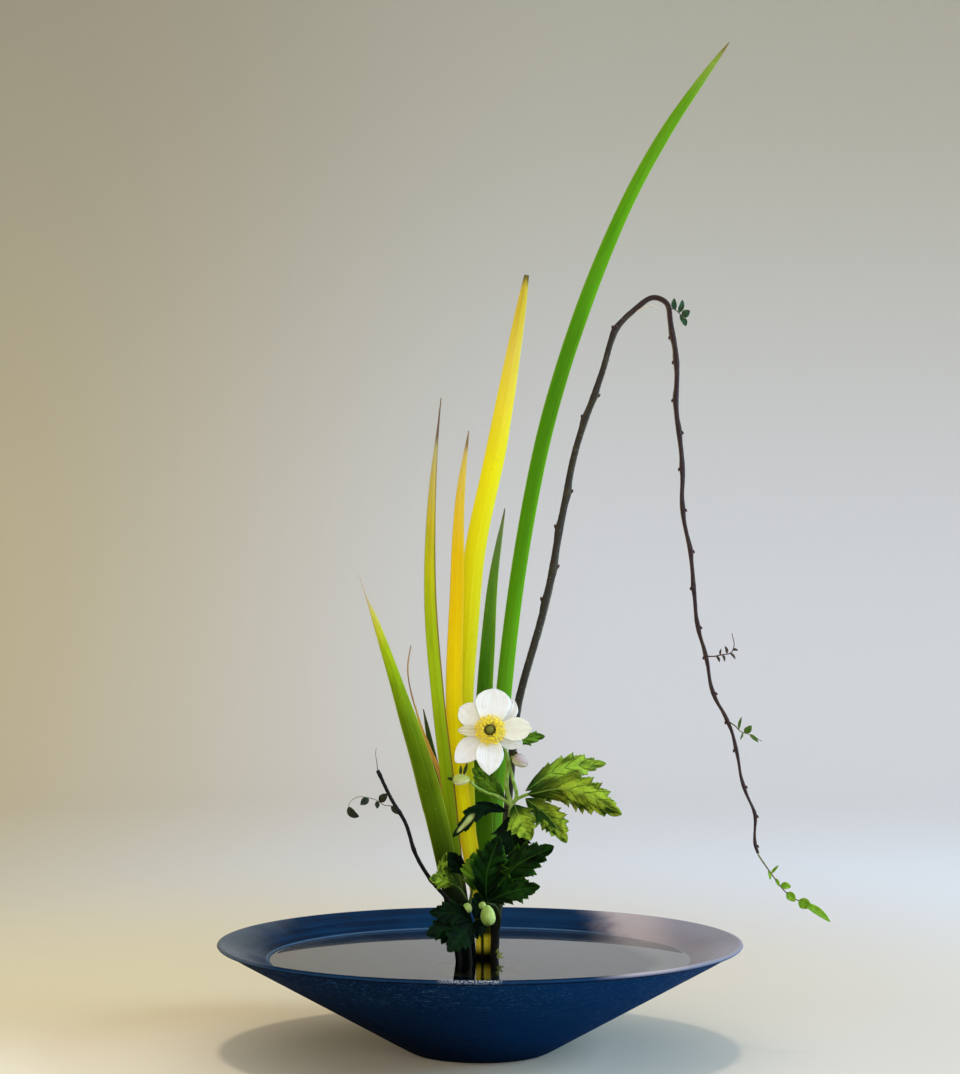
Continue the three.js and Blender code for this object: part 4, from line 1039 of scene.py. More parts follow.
sprays = {
    "bendSpray": {
        "node": "spray_bend", "slot": "twig_leaf",
        "stalk": [(129.4, 29, 497.6), (130.9, 28, 497.3), (134, 26, 495), (138, 24, 490)],
        "size": (0.9, 0.6),
        "leaflets": [
            ((132, 27.3, 496.7), (131.4, 25.6, 504.4), 3.6, 0.6),
            ((134.4, 25.8, 494.7), (136.7, 23.6, 503.2), 3.6, -0.5),
            ((136.6, 24.8, 492), (141.6, 22.4, 495.8), 5.2, 0.0),
            ((137.3, 24.4, 491), (139, 22.4, 485.2), 3.6, 0.0),
            ((135.4, 25.4, 493.6), (137.6, 24, 486.6), 2.2, 0.0)],
        "stem": ((96, 92, 70), (70, 74, 52), (140, 140, 110)),
        "leaf": ((22, 62, 36), (54, 96, 62), (80, 112, 84)),
    },
    "middleTwig": {
        "node": "twig_middle", "slot": "twig_leaf_dark",
        "stalk": [(151.4, 1.8, 263.4), (156, 0, 263.4), (161, -2, 264.5), (167, -4, 266), (169, -5, 270.5),
                  (167.5, -6, 279)],
        "size": (1.0, 0.5),
        "leaflets": [
            ((157.6, -0.6, 263.7), (159.6, -1.6, 259.6), 1.6, 0.5),
            ((161.4, -2, 264.6), (162.8, -3, 260), 1.6, 0.5),
            ((164.4, -3, 265.4), (163, -4, 270.4), 1.8, -0.5),
            ((168, -4.4, 268), (171.6, -5.6, 267.6), 1.6, 0.4),
            ((166.4, -3.8, 265.8), (169.8, -5, 261.6), 1.6, 0.5),
            ((160, -1.6, 264.4), (160.6, -3, 268.6), 1.2, 0.3)],
        "stem": ((62, 50, 46), (84, 64, 56), (120, 100, 90)),
        "leaf": ((44, 44, 38), (80, 78, 64), (100, 94, 80)),
    },
    "lowerTwig": {
        "node": "twig_lower", "slot": "twig_leaf",
        "stalk": [(164.8, -6.2, 220.8), (166.3, -6.8, 219.7), (169.5, -8, 217.5), (173, -9, 214),
                  (180, -10, 211.5), (187, -11, 207.5)],
        "size": (0.9, 0.4),
        "leaflets": [
            ((171.8, -8.6, 215.4), (173.6, -9.4, 223.6), 1.8, 0.4),
            ((175.6, -9.4, 213), (180, -11, 218), 4.6, 0.0),
            ((174.4, -9.2, 213.4), (172.6, -10, 208.6), 1.2, 0.3),
            ((179, -10, 212), (184.6, -11, 207), 2.4, 0.2)],
        "stem": ((60, 66, 40), (90, 84, 56), (130, 130, 100)),
        "leaf": ((44, 92, 20), (92, 130, 50), (110, 140, 80)),
    },
    "tipSpray": {
        "node": "spray_tip", "slot": "twig_leaf_fresh",
        "stalk": [(183.6, -18, 133.9), (183.8, -18, 133.3), (190, -19, 124), (203, -21, 107.5),
                  (214.5, -22, 101)],
        "size": (1.1, 0.6),
        "leaflets": [
            ((190.6, -19, 123.2), (191.4, -20.6, 116.8), 2, 0.3),
            ((192.4, -19.4, 121), (197, -21, 126.4), 1.8, 0.3),
            ((195, -19.8, 117.6), (197.4, -21.4, 112.6), 2.2, 0.3),
            ((198.4, -20.2, 113.2), (205, -22.4, 112.4), 4.6, 0.2),
            ((202.4, -20.8, 108.4), (207.6, -22.8, 102.8), 5.6, 0.3),
            ((210, -21.6, 103.2), (217.8, -23.4, 98.8), 7.4, 0.4),
            ((213.4, -21.9, 101.7), (230.6, -24.6, 89.6), 5, 1.0)],
        "stem": ((120, 92, 72), (110, 124, 50), (150, 150, 110)),
        "leaf": ((86, 144, 8), (146, 190, 50), (150, 186, 90)),
    },
    "curledTwig": {
        "node": "twig_curled", "slot": "twig_leaf_dark",
        "stalk": [(-56.4, -54.2, 168.6), (-58.5, -55.6, 169), (-62, -57, 169.5), (-66, -59, 172.5),
                  (-71, -62, 174.5), (-78.5, -65, 175.5), (-83.5, -66, 172.5), (-85, -66, 168)],
        "size": (0.6, 0.36),
        "leaflets": [
            ((-57.4, -54.9, 168.8), (-53, -57, 163.6), 3.2, 0.0),
            ((-65, -58.4, 171.8), (-60, -60, 177.2), 5, 0.0),
            ((-72, -62.4, 174.7), (-77, -64.4, 170.4), 4.6, 0.0),
            ((-84.7, -66, 169.2), (-77.8, -67, 163), 5, -1.4),
            ((-66.4, -59, 172.2), (-66.4, -60.6, 167.6), 3, 0.0)],
        "stem": ((110, 104, 84), (60, 54, 44), (150, 144, 128)),
        "leaf": ((14, 22, 10), (44, 58, 28), (120, 128, 96)),
    },
}


def makeSpray(name, spray):
    shell = Shell()
    stalk = smoothPath(mm(spray["stalk"]), 60)
    first, last = spray["size"]
    shell.ring(tube(stalk, np.linspace(first, last, 60) * 0.0005, 8))
    for i, (start, end, width, bow) in enumerate(spray["leaflets"]):
        addLeaflet(shell, start, end, width, bow=bow, seed=i + len(name))
    shell.piece(name, [stemPaint(name + "Stem", *spray["stem"]),
                       twigLeafPaint(name + "Leaf", *spray["leaf"])],
                [spray["node"]])


for sprayName, sprayFacts in sprays.items():
    makeSpray(sprayName, sprayFacts)
print("twigs and their leaves made")

anemoneGreens = {  # tones in the order that the paint functions name them
    "stalk": ((138, 170, 66), (92, 124, 30), (176, 196, 120)),
    "shoot": ((130, 160, 70), (190, 204, 140), (100, 130, 60)),
    "bract": ((26, 44, 8), (70, 100, 30), (110, 130, 60)),
    "innerFace": (190, 200, 120), "silk": (240, 240, 216),
}
anemoneStems = {
    "anemoneMainStem": {
        "node": "anemone_stem",
        "runs": [
            ([(7, -17, footHeight), (10, -18, 60), (12.6, -19, 95), (15.2, -20, 122), (18, -21, 145),
              (21, -22, 166)], 3.4, 2.8),
            ([(21, -22, 166), (17.6, -21, 177), (18, -21, 198), (12.6, -21, 209), (7.6, -23.5, 214),
              (6.5, -28.9, 214.8)], 3.2, 2.4),
            ([(21, -22, 166), (24, -23, 172), (21.6, -24, 184), (19.6, -25.6, 194), (21.6, -27, 198.6)],
             2.6, 1.8),
            ([(21, -22, 166), (12, -23, 172), (4.6, -25, 174.6), (-3, -27, 179), (-6, -28, 182.2)], 2.5, 1.8),
            ([(21, -22, 166), (24, -23, 170), (29, -24, 172.6), (31.4, -24.8, 173.6)], 2.5, 2.0),
            ([(12.3, -19, 92), (10, -24, 99), (5.4, -30, 103.4)], 1.6, 1.4),
            ([(11.6, -18.6, 82), (13, -22, 92), (10, -25.4, 100.4), (7.4, -26.8, 102)], 1.8, 1.5)],
        # a shoot just over the water, as (start, end, width)
        "shoot": [((11, -18.6, 66), (15.2, -21, 69), 1.5), ((11, -19, 65.6), (13.4, -22, 66.4), 1.8),
                  ((10.8, -18.8, 67), (12.2, -21, 71.6), 1.7), ((11, -18.6, 65.6), (16, -20, 65.8), 1.3)],
    },
    "anemoneLowStem": {
        "node": "anemone_stem_low",
        "runs": [
            ([(-3, -22, footHeight), (-6, -23, 60), (-7.4, -24, 90), (-5, -25, 112), (0, -26, 128)],
             3.0, 1.6),
            ([(-7.2, -23.8, 84), (-10.4, -25.6, 91), (-9, -27.4, 95.2)], 1.4, 1.2),
            ([(-7, -23.6, 78), (-7.2, -27, 86), (-4.8, -30, 89.8)], 1.6, 1.4),
            ([(-7, -24.4, 102), (-12, -26, 110), (-14.4, -27, 113)], 1.4, 1.2)],
    },
}


stalkShape = {"ribs": 7, "ribDepth": 0.05, "columns": 16, "footSwell": 0.28, "headSwell": 0.3}


def makeAnemoneStem(name, facts):
    # round stalks with seven soft ribs, swollen where one leaves another and under a flower
    shell = Shell()
    for points, first, last in facts["runs"]:
        rows = 30 + 22 * len(points)
        path = smoothPath(mm(points), rows)
        u = np.linspace(0, 1, rows)
        radius = (first + (last - first) * u) * 0.0005
        swell = stalkShape["footSwell"] * np.exp(-(u / 0.05) ** 2)
        swell = swell + stalkShape["headSwell"] * np.exp(-((1 - u) / 0.04) ** 2)
        angle = np.linspace(0, 2 * np.pi, stalkShape["columns"], endpoint=False)
        ribs = 1 + stalkShape["ribDepth"] * np.sin(stalkShape["ribs"] * angle)[None]
        shell.ring(tube(path, (radius * (1 + swell))[:, None] * ribs, len(angle)))
    for i, (start, end, width) in enumerate(facts.get("shoot", [])):
        addLeaflet(shell, start, end, width, seed=i, fold=0.5)
    skin = stemPaint(name + "Skin", *anemoneGreens["stalk"], (0.08, 0.17))
    young = twigLeafPaint(name + "Shoot", *anemoneGreens["shoot"])
    shell.piece(name, [skin, young], [facts["node"]])


for stemName, stemFacts in anemoneStems.items():
    makeAnemoneStem(stemName, stemFacts)
print("anemone stems made")

flower = {
    "centre": (6.6, -32, 215.7),
    "tilt": 74,
    "roll": 3,
    # turn, length, width, and how pointed the tip is
    "tepals": [(0, 27.4, 16, 0.2), (49, 25.8, 16, 0.2), (81, 27.4, 23.5, 0.15), (137, 25.5, 17, 0.1),
               (177, 21.5, 8, 0.7), (219, 30, 16.5, 0.8), (266, 30, 19, 1.0), (333, 23.5, 13, 0.5)],
    # each tepal's own tint, except the fifth: its olive grey is painted shade
    "tintsAndShade": [(250, 247, 214), (246, 246, 240), (255, 255, 250), (252, 252, 240),
              (206, 196, 130), (252, 250, 250), (252, 252, 246), (236, 236, 222)],
    "frontLift": 0.9,
    "backLift": -1.4,
    "tepalFoot": 3.2, "tepalThickness": 0.34,  # the foot is measured from the flower's axis
    "heartRadius": 3.3, "carpelHeight": 0.42,
    "threadRadius": 0.15, "sacSize": (0.36, 0.56, 0.36),
    "stamens": 380,
    "carpels": 150,
    "vein": (222, 222, 196), "cream": (238, 236, 206), "flush": (246, 228, 70),
    "back": (226, 214, 220),
    "heart": ((30, 26, 6), (112, 110, 34)), "heartFleck": (150, 142, 60),
    "thread": ((254, 240, 130), (246, 228, 90)),
    "pollen": ((255, 236, 50), (244, 204, 24)), "pollenFleck": (255, 248, 150),
}


def aboutX(angle):
    c, s = math.cos(math.radians(angle)), math.sin(math.radians(angle))
    return np.array([[1, 0, 0], [0, c, -s], [0, s, c]])


def aboutZ(angle):
    c, s = math.cos(math.radians(angle)), math.sin(math.radians(angle))
    return np.array([[c, -s, 0], [s, c, 0], [0, 0, 1]])


def inFlower(points, turn=0.0):  # from the flower's own millimetres to its place in the arrangement
    spin = aboutX(flower["tilt"]) @ aboutZ(flower["roll"]) @ aboutZ(turn)
    return (points @ spin.T + np.array(flower["centre"], float)) * 0.001


def tepalPaint(name, tint):
    # white silk: faint veins from foot to rim, a yellow flush at the foot, a cool tone behind
    paint = Paint(name)
    strand = paint.streaks(1.5, 26.0, 1.0, 3.0)
    vein = (paint.across * 64.0 + strand * 5.0).wave()
    look = paint.mix(vein.rise(0.3, 1.0) * 0.10, tint, flower["vein"])
    soft = paint.noise(110.0, 3.0)
    look = paint.mix(soft.rise(0.45, 0.75) * 0.35, look, flower["cream"])
    look = paint.mix(paint.along.rise(0.02, 0.40, 0.9, 0.0), look, flower["flush"])
    look = paint.mix(paint.attribute("under") * 0.3, look, flower["back"])
    return paint.finish(look, 0.55, vein * 0.3 + strand, distance=0.0003, strength=0.4,
                        specular=0.2, glow=0.3, glowScale=0.005, glowRadius=(1.0, 0.95, 0.8),
                        sheen=0.15, sheenRoughness=0.4)


def makeTepal(index):
    # broad from near the foot, cupped up at the sides; the rim turns back a little and shallow
    # pleats run along; a pointed one narrows earlier towards its tip
    rows, columns = 60, 35
    turn, length, width, point = flower["tepals"][index]
    layer = flower["frontLift"] if index % 2 == 0 else flower["backLift"]
    u = np.linspace(0, 1, rows)
    rounded = between(u, [(0, 0.40), (0.12, 0.54), (0.3, 0.78), (0.5, 0.96), (0.64, 1.0), (0.8, 0.92),
                          (0.9, 0.72), (0.96, 0.48), (1, 0.08)])
    sharp = between(u, [(0, 0.40), (0.12, 0.56), (0.3, 0.84), (0.46, 1.0), (0.6, 0.96), (0.76, 0.74),
                        (0.88, 0.44), (0.95, 0.22), (1, 0.03)])
    half = width / 2 * (rounded + (sharp - rounded) * point)
    kernel = np.hanning(9)[1:-1] / np.hanning(9).sum()
    half = np.convolve(np.pad(half, 3, mode="reflect", reflect_type="odd"), kernel, "valid")[:, None]
    u = u[:, None]
    v = np.linspace(-1, 1, columns)[None]
    wave = ripple(u, 40 + index)
    foot = flower["tepalFoot"]
    along = foot + (length - foot) * u * (1 - 0.03 * v ** 2 * np.sin(2 * index + 1))
    nick = (1 - point) * np.exp(-((v - 0.3 * np.sin(5 * index)) / 0.2) ** 2)
    along = along - 1.6 * nick * np.clip(u * 4 - 3, 0, 1)
    along = along - 0.5 * (1 - point) * np.sin(11 * v + index) * u ** 8
    lift = layer + 1.6 * u ** 1.5 - 2.2 * np.clip(u - 0.72, 0, 1) ** 1.3
    lift = lift + 0.14 * half * v ** 2 * (1.2 - u)
    lift = lift + 0.16 * np.cos(v * 9 + index) * u * (1 - 0.5 * np.abs(v)) + 0.5 * wave * v * u
    edge = 1 + 0.03 * wave + 0.012 * np.sin(31 * u + index) * u
    sheet = np.stack([along, v * half * edge, lift + 0 * v], -1)
    thick = flower["tepalThickness"] * (1 - 0.55 * v ** 2) * (1 - 0.4 * u)
    grid, around, under = closedSheet(sheet, thick)
    skin = tepalPaint(f"tepalSilk{index + 1}", flower["tintsAndShade"][index])
    ringPiece(f"tepal{index + 1}", inFlower(grid, turn), skin, f"tepal_{index + 1}", "tepal",
              around=around, under=under, seed=index * 0.13)


def scattered(count):  # an even spiral of directions over a ball, first at the top
    k = np.arange(count) + 0.5
    up = 1 - 2 * k / count
    turn = k * math.pi * (3 - math.sqrt(5))
    level = np.sqrt(1 - up ** 2)
    return np.stack([level * np.cos(turn), level * np.sin(turn), up], -1)


def ballGrid(rows, columns):  # a unit ball as rows of directions from the bottom up
    tilt = np.linspace(0.04, np.pi - 0.04, rows)[::-1][:, None]
    turn = np.linspace(0, 2 * np.pi, columns, endpoint=False)[None]
    return np.stack([np.sin(tilt) * np.cos(turn), np.sin(tilt) * np.sin(turn), np.cos(tilt) + 0 * turn], -1)


def makeHeart():
    # a green ball set with many small carpels: each adds a rounded bump to the radius
    ball = ballGrid(96, 128)
    closeness = (ball.reshape(-1, 3) @ scattered(flower["carpels"]).T).max(1).reshape(ball.shape[:2])
    bump = np.clip((closeness - 0.972) / 0.028, 0, 1) ** 0.7
    radius = flower["heartRadius"] + flower["carpelHeight"] * bump
    grid = ball * radius[..., None] * np.array([1, 1, 1.05]) + np.array([0, 0, 2.2])
    paint = Paint("carpels")
    fleck = paint.noise(2600.0, 2.0)
    look = paint.mix(paint.along.rise(0.62, 0.9), *flower["heart"])
    look = paint.mix(fleck.rise(0.5, 0.7) * 0.35, look, flower["heartFleck"])
    material = paint.finish(look, 0.6, fleck, distance=0.0001, strength=0.5, specular=0.2)
    ringPiece("flowerHeart", inFlower(grid), material, "flower_heart", "flower_heart")


def makeStamens():
    # threads fan out from round the heart, each ending in a small pollen sac
    n = flower["stamens"]
    rng = np.random.default_rng(11)
    turn = np.arange(n) * math.pi * (3 - math.sqrt(5)) + rng.normal(0, 0.05, n)
    reach = 3.9 + 6.4 * rng.uniform(0.0, 1, n) ** 0.75
    height = 3.2 + (9.8 - reach) * 0.40 + rng.normal(0, 0.25, n)
    way = np.stack([np.cos(turn), np.sin(turn)], -1)
    start = np.concatenate([way * 3.2, np.full((n, 1), 1.6)], 1)
    end = np.concatenate([way * reach[:, None], height[:, None]], 1)
    bend = (start + end) / 2 + np.array([0, 0, 0.7])
    sides = 4
    rows = np.stack([start, bend, end], 1)
    angle = np.linspace(0, 2 * np.pi, sides, endpoint=False)
    side = np.stack([-np.sin(turn), np.cos(turn), 0 * turn], -1)
    circle = side[:, None, None] * np.cos(angle)[:, None] + np.array([0, 0, 1.0]) * np.sin(angle)[:, None]
    threads = rows[:, :, None] + circle * flower["threadRadius"]
    shell = Shell()
    threads = inFlower(threads.reshape(-1, 3)).reshape(n, 12, 3)
    shell.copies(tubeFaces(3, sides), threads, seeds=rng.random(n))
    sac = ballGrid(5, 6).reshape(-1, 3) * np.array(flower["sacSize"])
    lean = turn + rng.uniform(-1, 1, n)
    c, s = np.cos(lean), np.sin(lean)
    spun = np.stack([sac[None, :, 0] * c[:, None] - sac[None, :, 1] * s[:, None],
                     sac[None, :, 0] * s[:, None] + sac[None, :, 1] * c[:, None],
                     np.broadcast_to(sac[:, 2], (n, 30))], -1)
    placed = inFlower((spun + end[:, None]).reshape(-1, 3)).reshape(n, 30, 3)
    shell.copies(tubeFaces(5, 6), placed, slot=1, seeds=rng.random(n))
    paint = Paint("stamenThread")
    grain = paint.noise(900.0, 1.0)
    thread = paint.finish(paint.mix(grain, *flower["thread"]), 0.5, specular=0.2)
    paint = Paint("pollenSac")
    grain = paint.noise(5000.0, 2.0)
    tone = paint.mix(paint.attribute("seed"), *flower["pollen"])
    tone = paint.mix(grain.rise(0.5, 0.7) * 0.4, tone, flower["pollenFleck"])
    pollen = paint.finish(tone, 0.75, grain, distance=0.0001, specular=0.15)
    shell.piece("stamens", [thread, pollen], ["stamen_ring"])


for tepalIndex in range(len(flower["tepals"])):
    makeTepal(tepalIndex)
makeHeart()
makeStamens()
print("flower made")

buds = {
    "rightBud": {"node": "bud_right", "centre": (26.4, -27.4, 196), "radius": 4.4, "height": 11.6,
                 "lean": 122,
                 "tones": ((206, 206, 158), (186, 164, 160), (136, 150, 70)), "creases": 5,
                 "bracts": [((21.4, -27.6, 199.4), (24.6, -29.4, 202), 2.4),
                            ((20.8, -27.6, 197.6), (21.6, -29, 193.4), 2.2)]},
    "leftBud": {"node": "bud_left", "centre": (-12.4, -29, 183.6), "radius": 3.7, "height": 11.4, "lean": 86,
                "tones": ((226, 222, 168), (176, 186, 96), (120, 144, 50)), "creases": 5,
                "bracts": [((-12.8, -28.6, 186.4), (-12.6, -28.2, 193), 2.0),
                           ((-10.8, -28.6, 186.6), (-8.4, -28, 194.6), 2.2),
                           ((-17.2, -29, 184), (-21.6, -29, 184.8), 2.4)]},
    "lowBud": {"node": "bud_low", "centre": (5.2, -30.4, 94.6), "radius": 4.9, "height": 13.8, "lean": -8,
               "tones": ((196, 214, 120), (146, 176, 76), (110, 140, 50)),
               "beside": [(1.6, -29.6, 101, 2.5)], "creases": 5,
               "bracts": [((4.6, -27.6, 100), (1.2, -29, 104.6), 2.6),
                          ((6, -27, 100), (7, -28.6, 104.8), 2.4)]},
    "knobBud": {"node": "bud_knob", "centre": (-8.4, -28.8, 99.2), "radius": 3.4, "height": 6.8, "lean": 0,
                "tones": ((196, 214, 130), (150, 182, 80), (100, 134, 50)), "creases": 4,
                "bracts": []},
}


def makeBud(name, bud):
    # an egg of folded tepals: the radius dips along each crease and the top is drawn in
    ball = ballGrid(40, 60)
    turn = np.arctan2(ball[..., 1], ball[..., 0])
    crease = np.abs(np.sin(bud["creases"] / 2 * turn + 1.3 * ball[..., 2])) ** 0.5
    shape = ball * (0.9 + 0.1 * crease)[..., None]
    shape = shape * np.array([bud["radius"], bud["radius"], bud["height"] / 2])
    shape[..., :2] *= (1 - 0.16 * ball[..., 2:3])
    lean = math.radians(bud["lean"])
    c, s = math.cos(lean), math.sin(lean)
    spin = np.array([[c, 0, s], [0, 1, 0], [-s, 0, c]])
    shell = Shell()
    shell.ring((shape @ spin.T + np.array(bud["centre"])) * 0.001)
    for x, y, z, size in bud.get("beside", []):  # small buds that sit against it
        shell.ring((ball * (0.9 + 0.1 * crease)[..., None] * size + np.array([x, y, z])) * 0.001)
    for i, (start, end, width) in enumerate(bud["bracts"]):
        addLeaflet(shell, start, end, width, seed=i, fold=0.5)
    pale, deep, foot = bud["tones"]
    paint = Paint(name + "Skin")
    silkHair = paint.streaks(5.0, 50.0, 1.0, 3.0)
    cloud = paint.noise(260.0, 3.0)
    light = (paint.across * 6.28 + 1.2).wave()
    look = paint.mix((light * 0.6 + cloud).rise(0.1, 0.9), deep, pale)
    look = paint.mix(silkHair.rise(0.5, 0.8) * 0.35, look, anemoneGreens["silk"])
    look = paint.mix(paint.along.rise(0.05, 0.28, 0.8, 0.0), look, foot)
    skin = paint.finish(look, 0.6, silkHair, distance=0.0002, strength=0.6, specular=0.2,
                        glow=0.15, glowScale=0.004, sheen=0.2, sheenRoughness=0.3)
    bract = twigLeafPaint(name + "Bract", *anemoneGreens["bract"])
    shell.piece(name, [skin, bract], [bud["node"]])


for budName, budFacts in buds.items():
    makeBud(budName, budFacts)
print("buds made")

# lit and shaded copies of one leaf green: the lit set is painted light, and the dark and near-black sets are
# painted shade for leaves deep in the arrangement
litLeafTones = {"blade": (154, 186, 50), "deep": (20, 52, 6), "vein": (26, 56, 8),
              "rib": (126, 158, 60), "edge": (120, 150, 56), "back": (120, 150, 70)}
halfLitLeafTones = {"blade": (104, 150, 34), "deep": (32, 72, 8), "vein": (30, 64, 10),
            "rib": (110, 146, 50), "edge": (120, 158, 50), "back": (90, 124, 50)}
shadedLeafTones = {"blade": (18, 58, 8), "deep": (3, 16, 2), "vein": (3, 14, 3),
             "rib": (44, 88, 26), "edge": (48, 100, 16), "back": (36, 66, 26)}
deepShadedLeafTones = {"blade": (7, 32, 6), "deep": (1, 10, 2), "vein": (1, 8, 2),
              "rib": (18, 50, 14), "edge": (16, 52, 10), "back": (16, 40, 12)}

anemoneLeaves = {  # a lobe is (spine, width, teeth, fold, seed)
    "rightTopLeaf": {"node": "leaf_right_top", "tones": litLeafTones, "lobes": [
        ([(30, -23, 175.6), (52, -15, 189), (84, 0, 192)], 17, 6, 0.2, 1)]},
    "rightMiddleLeaf": {"node": "leaf_right_middle", "tones": litLeafTones, "lobes": [
        ([(31, -25, 173.6), (58, -36, 178), (92, -52, 163)], 24, 7, -0.2, 2)]},
    "rightLowLeaf": {"node": "leaf_right_low", "tones": litLeafTones, "lobes": [
        ([(30, -26, 171), (44, -35, 161), (56.5, -46, 144)], 19, 6, 0.3, 3)]},
    "rightFoldLeaf": {"node": "leaf_right_fold", "tones": litLeafTones, "lobes": [
        ([(22.6, -27, 167), (27, -34, 157), (33, -41, 145)], 21, 4, 0.3, 4)]},
    "byFlowerLeaf": {"node": "leaf_by_flower", "tones": halfLitLeafTones, "lobes": [
        ([(22, -18, 205), (31, -16, 209.4), (43, -13, 211)], 9, 3, 0.3, 5)]},
    "byBudLeaf": {"node": "leaf_by_bud", "tones": halfLitLeafTones, "lobes": [
        ([(16, -18, 170), (5, -15.4, 180), (-5, -14, 190)], 15, 5, 0.2, 6)]},
    "curledLeaf": {"node": "leaf_curled", "tones": deepShadedLeafTones, "inner": True, "lobes": [
        ([(17.6, -27, 163), (2, -33, 165), (-18, -39, 147)], 11, 4, 0.7, 7)]},
    "darkUpperLeaf": {"node": "leaf_dark_upper", "tones": deepShadedLeafTones, "lobes": [
        ([(20.4, -26, 160), (21, -30, 148), (23, -33, 131)], 25, 5, 0.3, 8)]},
    "stripedLeaf": {"node": "leaf_striped", "tones": litLeafTones, "lobes": [
        ([(-15, -28, 113.4), (-23, -34, 118), (-33, -40, 120)], 12, 4, -0.2, 9),
        ([(-15, -29, 115), (-24.5, -35, 124), (-22, -37, 137)], 6.5, 3, 0.2, 19)]},
    "roundLeaf": {"node": "leaf_round", "tones": deepShadedLeafTones, "lobes": [
        ([(-9.6, -27.4, 121), (-15.4, -33, 129), (-20.6, -38, 137)], 13, 3, 0.3, 10)]},
    "clusterLeaf": {"node": "leaf_cluster", "tones": halfLitLeafTones, "lobes": [
        ([(-3.6, -29.5, 111), (-4.6, -34, 122), (-4, -38, 137)], 15, 5, 0.3, 11)]},
    "largeDarkLeaf": {"node": "leaf_dark_large", "tones": shadedLeafTones, "lobes": [
        ([(4, -31.6, 104.8), (4.6, -39, 124), (12.5, -44, 148)], 25, 6, 0.2, 12),
        ([(4.6, -31.8, 104.6), (23, -41, 128), (48, -48, 142)], 24, 6, -0.2, 13),
        ([(5, -32, 104), (21, -42, 112), (39, -50, 116)], 18, 5, 0.2, 14)]},
    "lowDarkLeaf": {"node": "leaf_dark_low", "tones": deepShadedLeafTones, "lobes": [
        ([(-5, -31.6, 90.4), (-17, -39, 97), (-33, -46, 99)], 16, 5, 0.2, 15),
        ([(-5.2, -32, 90), (-18, -41, 88), (-35, -49, 85)], 19, 5, -0.2, 16),
        ([(-5, -32.2, 89.6), (-13, -43, 82), (-21, -52, 74)], 18, 5, 0.2, 18),
        ([(-4.4, -31.4, 90), (-0.4, -26.5, 87), (4.4, -22.4, 84.5)], 16, 4, 0.3, 17),
        ([(-3.6, -25, 92), (0.6, -21.6, 100), (4, -20.4, 111)], 17, 4, 0.2, 20)]},
}


def anemoneLeafPaint(name, tones, teeth, inner):
    # side veins leave the midrib at a slant and end in the teeth; net veins between them are
    # cells; the quilted parts between veins catch the light
    paint = Paint(name)
    fromMiddle = (paint.across - 0.5).size() * 2.0
    slant = (paint.along * teeth - fromMiddle * 0.9).part()
    sideVein = (slant - 0.5).size().rise(0.36, 0.5)
    midrib = fromMiddle.rise(0.0, 0.06, 1.0, 0.0)
    net = paint.cells(34.0, 12.0, "DISTANCE_TO_EDGE")
    cloud = paint.streaks(4.0, 3.0, 1.0, 4.0, 0.6)
    half = (paint.across - 0.5).rise(-0.06, 0.06)
    shade = cloud.rise(0.40, 0.62) * 0.8 + half * (paint.attribute("seed") - 0.3) * 0.7
    look = paint.mix(shade, tones["blade"], tones["deep"])
    look = paint.mix(paint.along.rise(0.04, 0.46, 1.0, 0.0), look, tones["deep"])
    look = paint.mix(net.rise(0.0, 0.1, 0.35, 0.0), look, tones["vein"])
    look = paint.mix(sideVein * 0.7, look, tones["vein"])
    look = paint.mix(midrib * 0.7, look, tones["rib"])
    look = paint.mix(fromMiddle.rise(0.72, 1.0) * 0.6, look, tones["edge"])
    look = paint.mix(paint.attribute("under") * 0.5, look, tones["back"])
    if inner:  # the curled leaf shows a pale inner face on its outer half
        pale = fromMiddle.rise(0.5, 0.1) * paint.along.rise(0.5, 0.62) * paint.along.rise(0.93, 0.85)
        look = paint.mix(pale, look, anemoneGreens["innerFace"])
    height = net.rise(0.0, 0.2) * 0.5 - sideVein * 0.7 - midrib
    return paint.finish(look, 0.46 + cloud * 0.12, height, distance=0.0004, strength=0.6,
                        specular=0.05, glow=0.1, glowScale=0.003)


lobeShape = {"toothDepth": 0.40, "smallToothDepth": 0.10, "forward": 0.26, "quilt": 0.0014,
             "thickness": 0.00032, "midrib": 0.00035}


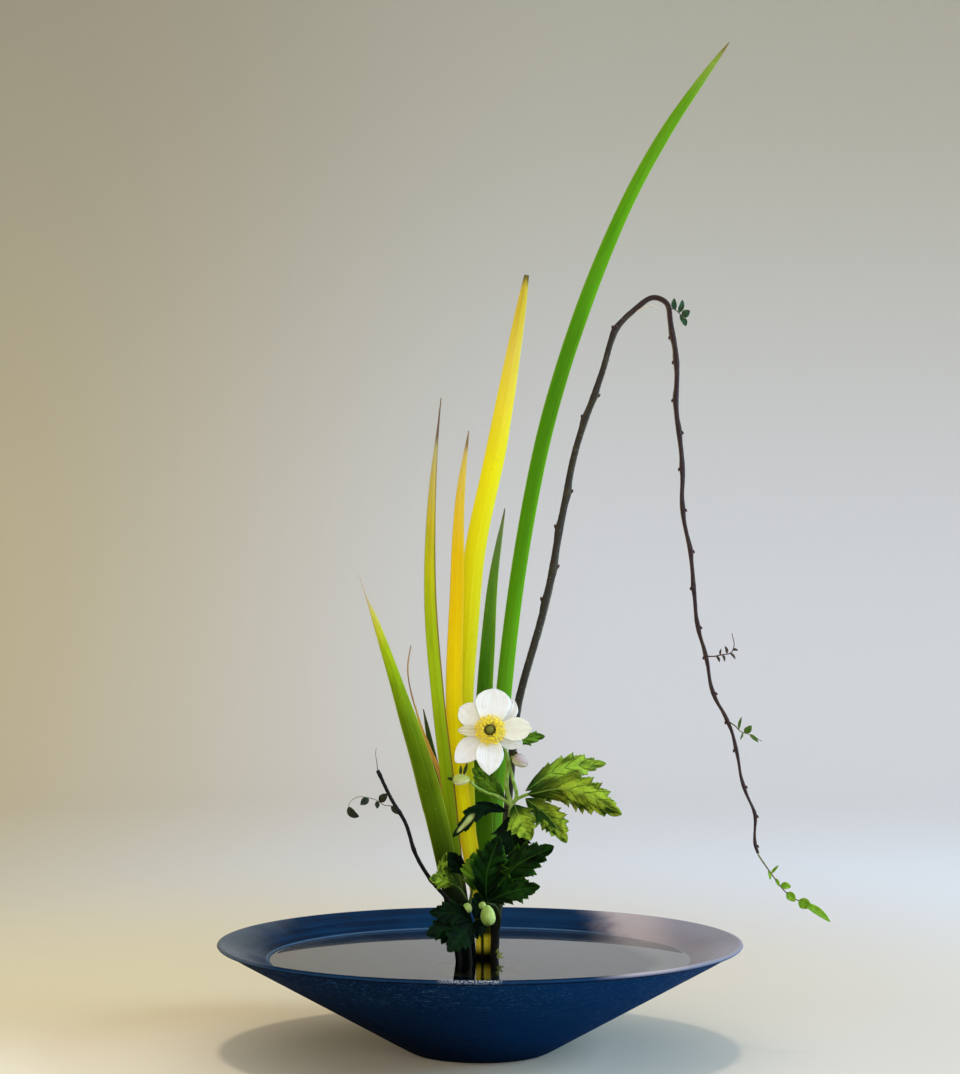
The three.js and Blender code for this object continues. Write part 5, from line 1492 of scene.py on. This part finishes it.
def addToothedLobe(shell, lobe):
    # half width: an ovate swell times a saw of teeth, each with two smaller ones; each point off
    # the midrib is moved towards the tip, so the teeth point forwards; the blade is quilted
    points, width, teeth, fold, seed = lobe
    rows, columns = 30 * teeth, 27
    path = smoothPath(mm(points), 160)
    right, out = axesAlong(path, (0, -1, 0.15))
    u = np.linspace(0, 1, rows)[:, None]
    v = np.linspace(-1, 1, columns)[None]
    swell = np.sin(np.pi * u ** 0.76) ** 0.72 * (1 - 0.12 * u)
    rng = np.random.default_rng(seed)
    shift = 0.18 * np.sin(2 * np.pi * u * 1.7 + rng.uniform(0, 6)) + np.where(v > 0, rng.uniform(0, 1), 0)
    saw = (u * teeth + shift) % 1
    small = (u * teeth * 3 + shift * 3) % 1
    margin = np.abs(v) ** 3
    notch = lobeShape["toothDepth"] * (1 - saw) ** 1.4 + lobeShape["smallToothDepth"] * (1 - small)
    notch = notch * np.clip(u * 7, 0, 1) * np.clip((1 - u) * 7, 0.3, 1)
    half = width * 0.00058 * swell * (1 - notch * margin) + 0.00015
    half = half * (1 + 0.1 * ripple(u, seed) * np.sign(v))
    reach = np.clip(u + lobeShape["forward"] * np.abs(v) * swell * (1 - u) ** 0.8, 0, 1)
    spine, across, normal = at(path, reach), at(right, reach), at(out, reach)
    quilt = np.cos(2 * np.pi * (u * teeth - 0.45 * np.abs(v) - 0.5)) * np.abs(v) * (1 - np.abs(v))
    lift = fold * half * np.abs(v) - 0.12 * half * v ** 2 + lobeShape["quilt"] * quilt
    lift = lift + half * (0.16 * ripple(u, seed + 50) * v + 0.12 * np.sin(9 * u + 4 * v + seed) * v ** 2)
    sheet = spine + across * (v * half)[..., None] + normal * lift[..., None]
    rib = lobeShape["midrib"] * np.exp(-(v / 0.07) ** 2) * (1 - u)
    thick = lobeShape["thickness"] * (1 - 0.6 * v ** 2) + rib + 0 * half
    grid, around, under = closedSheet(sheet, thick)
    shell.ring(grid, around=around, under=under, seed=(seed * 0.29) % 1)


def makeAnemoneLeaf(name, leaf):
    shell = Shell()
    for lobe in leaf["lobes"]:
        addToothedLobe(shell, lobe)
    teeth = leaf["lobes"][0][2]
    skin = anemoneLeafPaint(name + "Skin", leaf["tones"], teeth, leaf.get("inner", False))
    dark = leaf["tones"] in (shadedLeafTones, deepShadedLeafTones)
    shell.piece(name, [skin], [leaf["node"]])


for leafName, leafFacts in anemoneLeaves.items():
    makeAnemoneLeaf(leafName, leafFacts)
print("anemone leaves made")
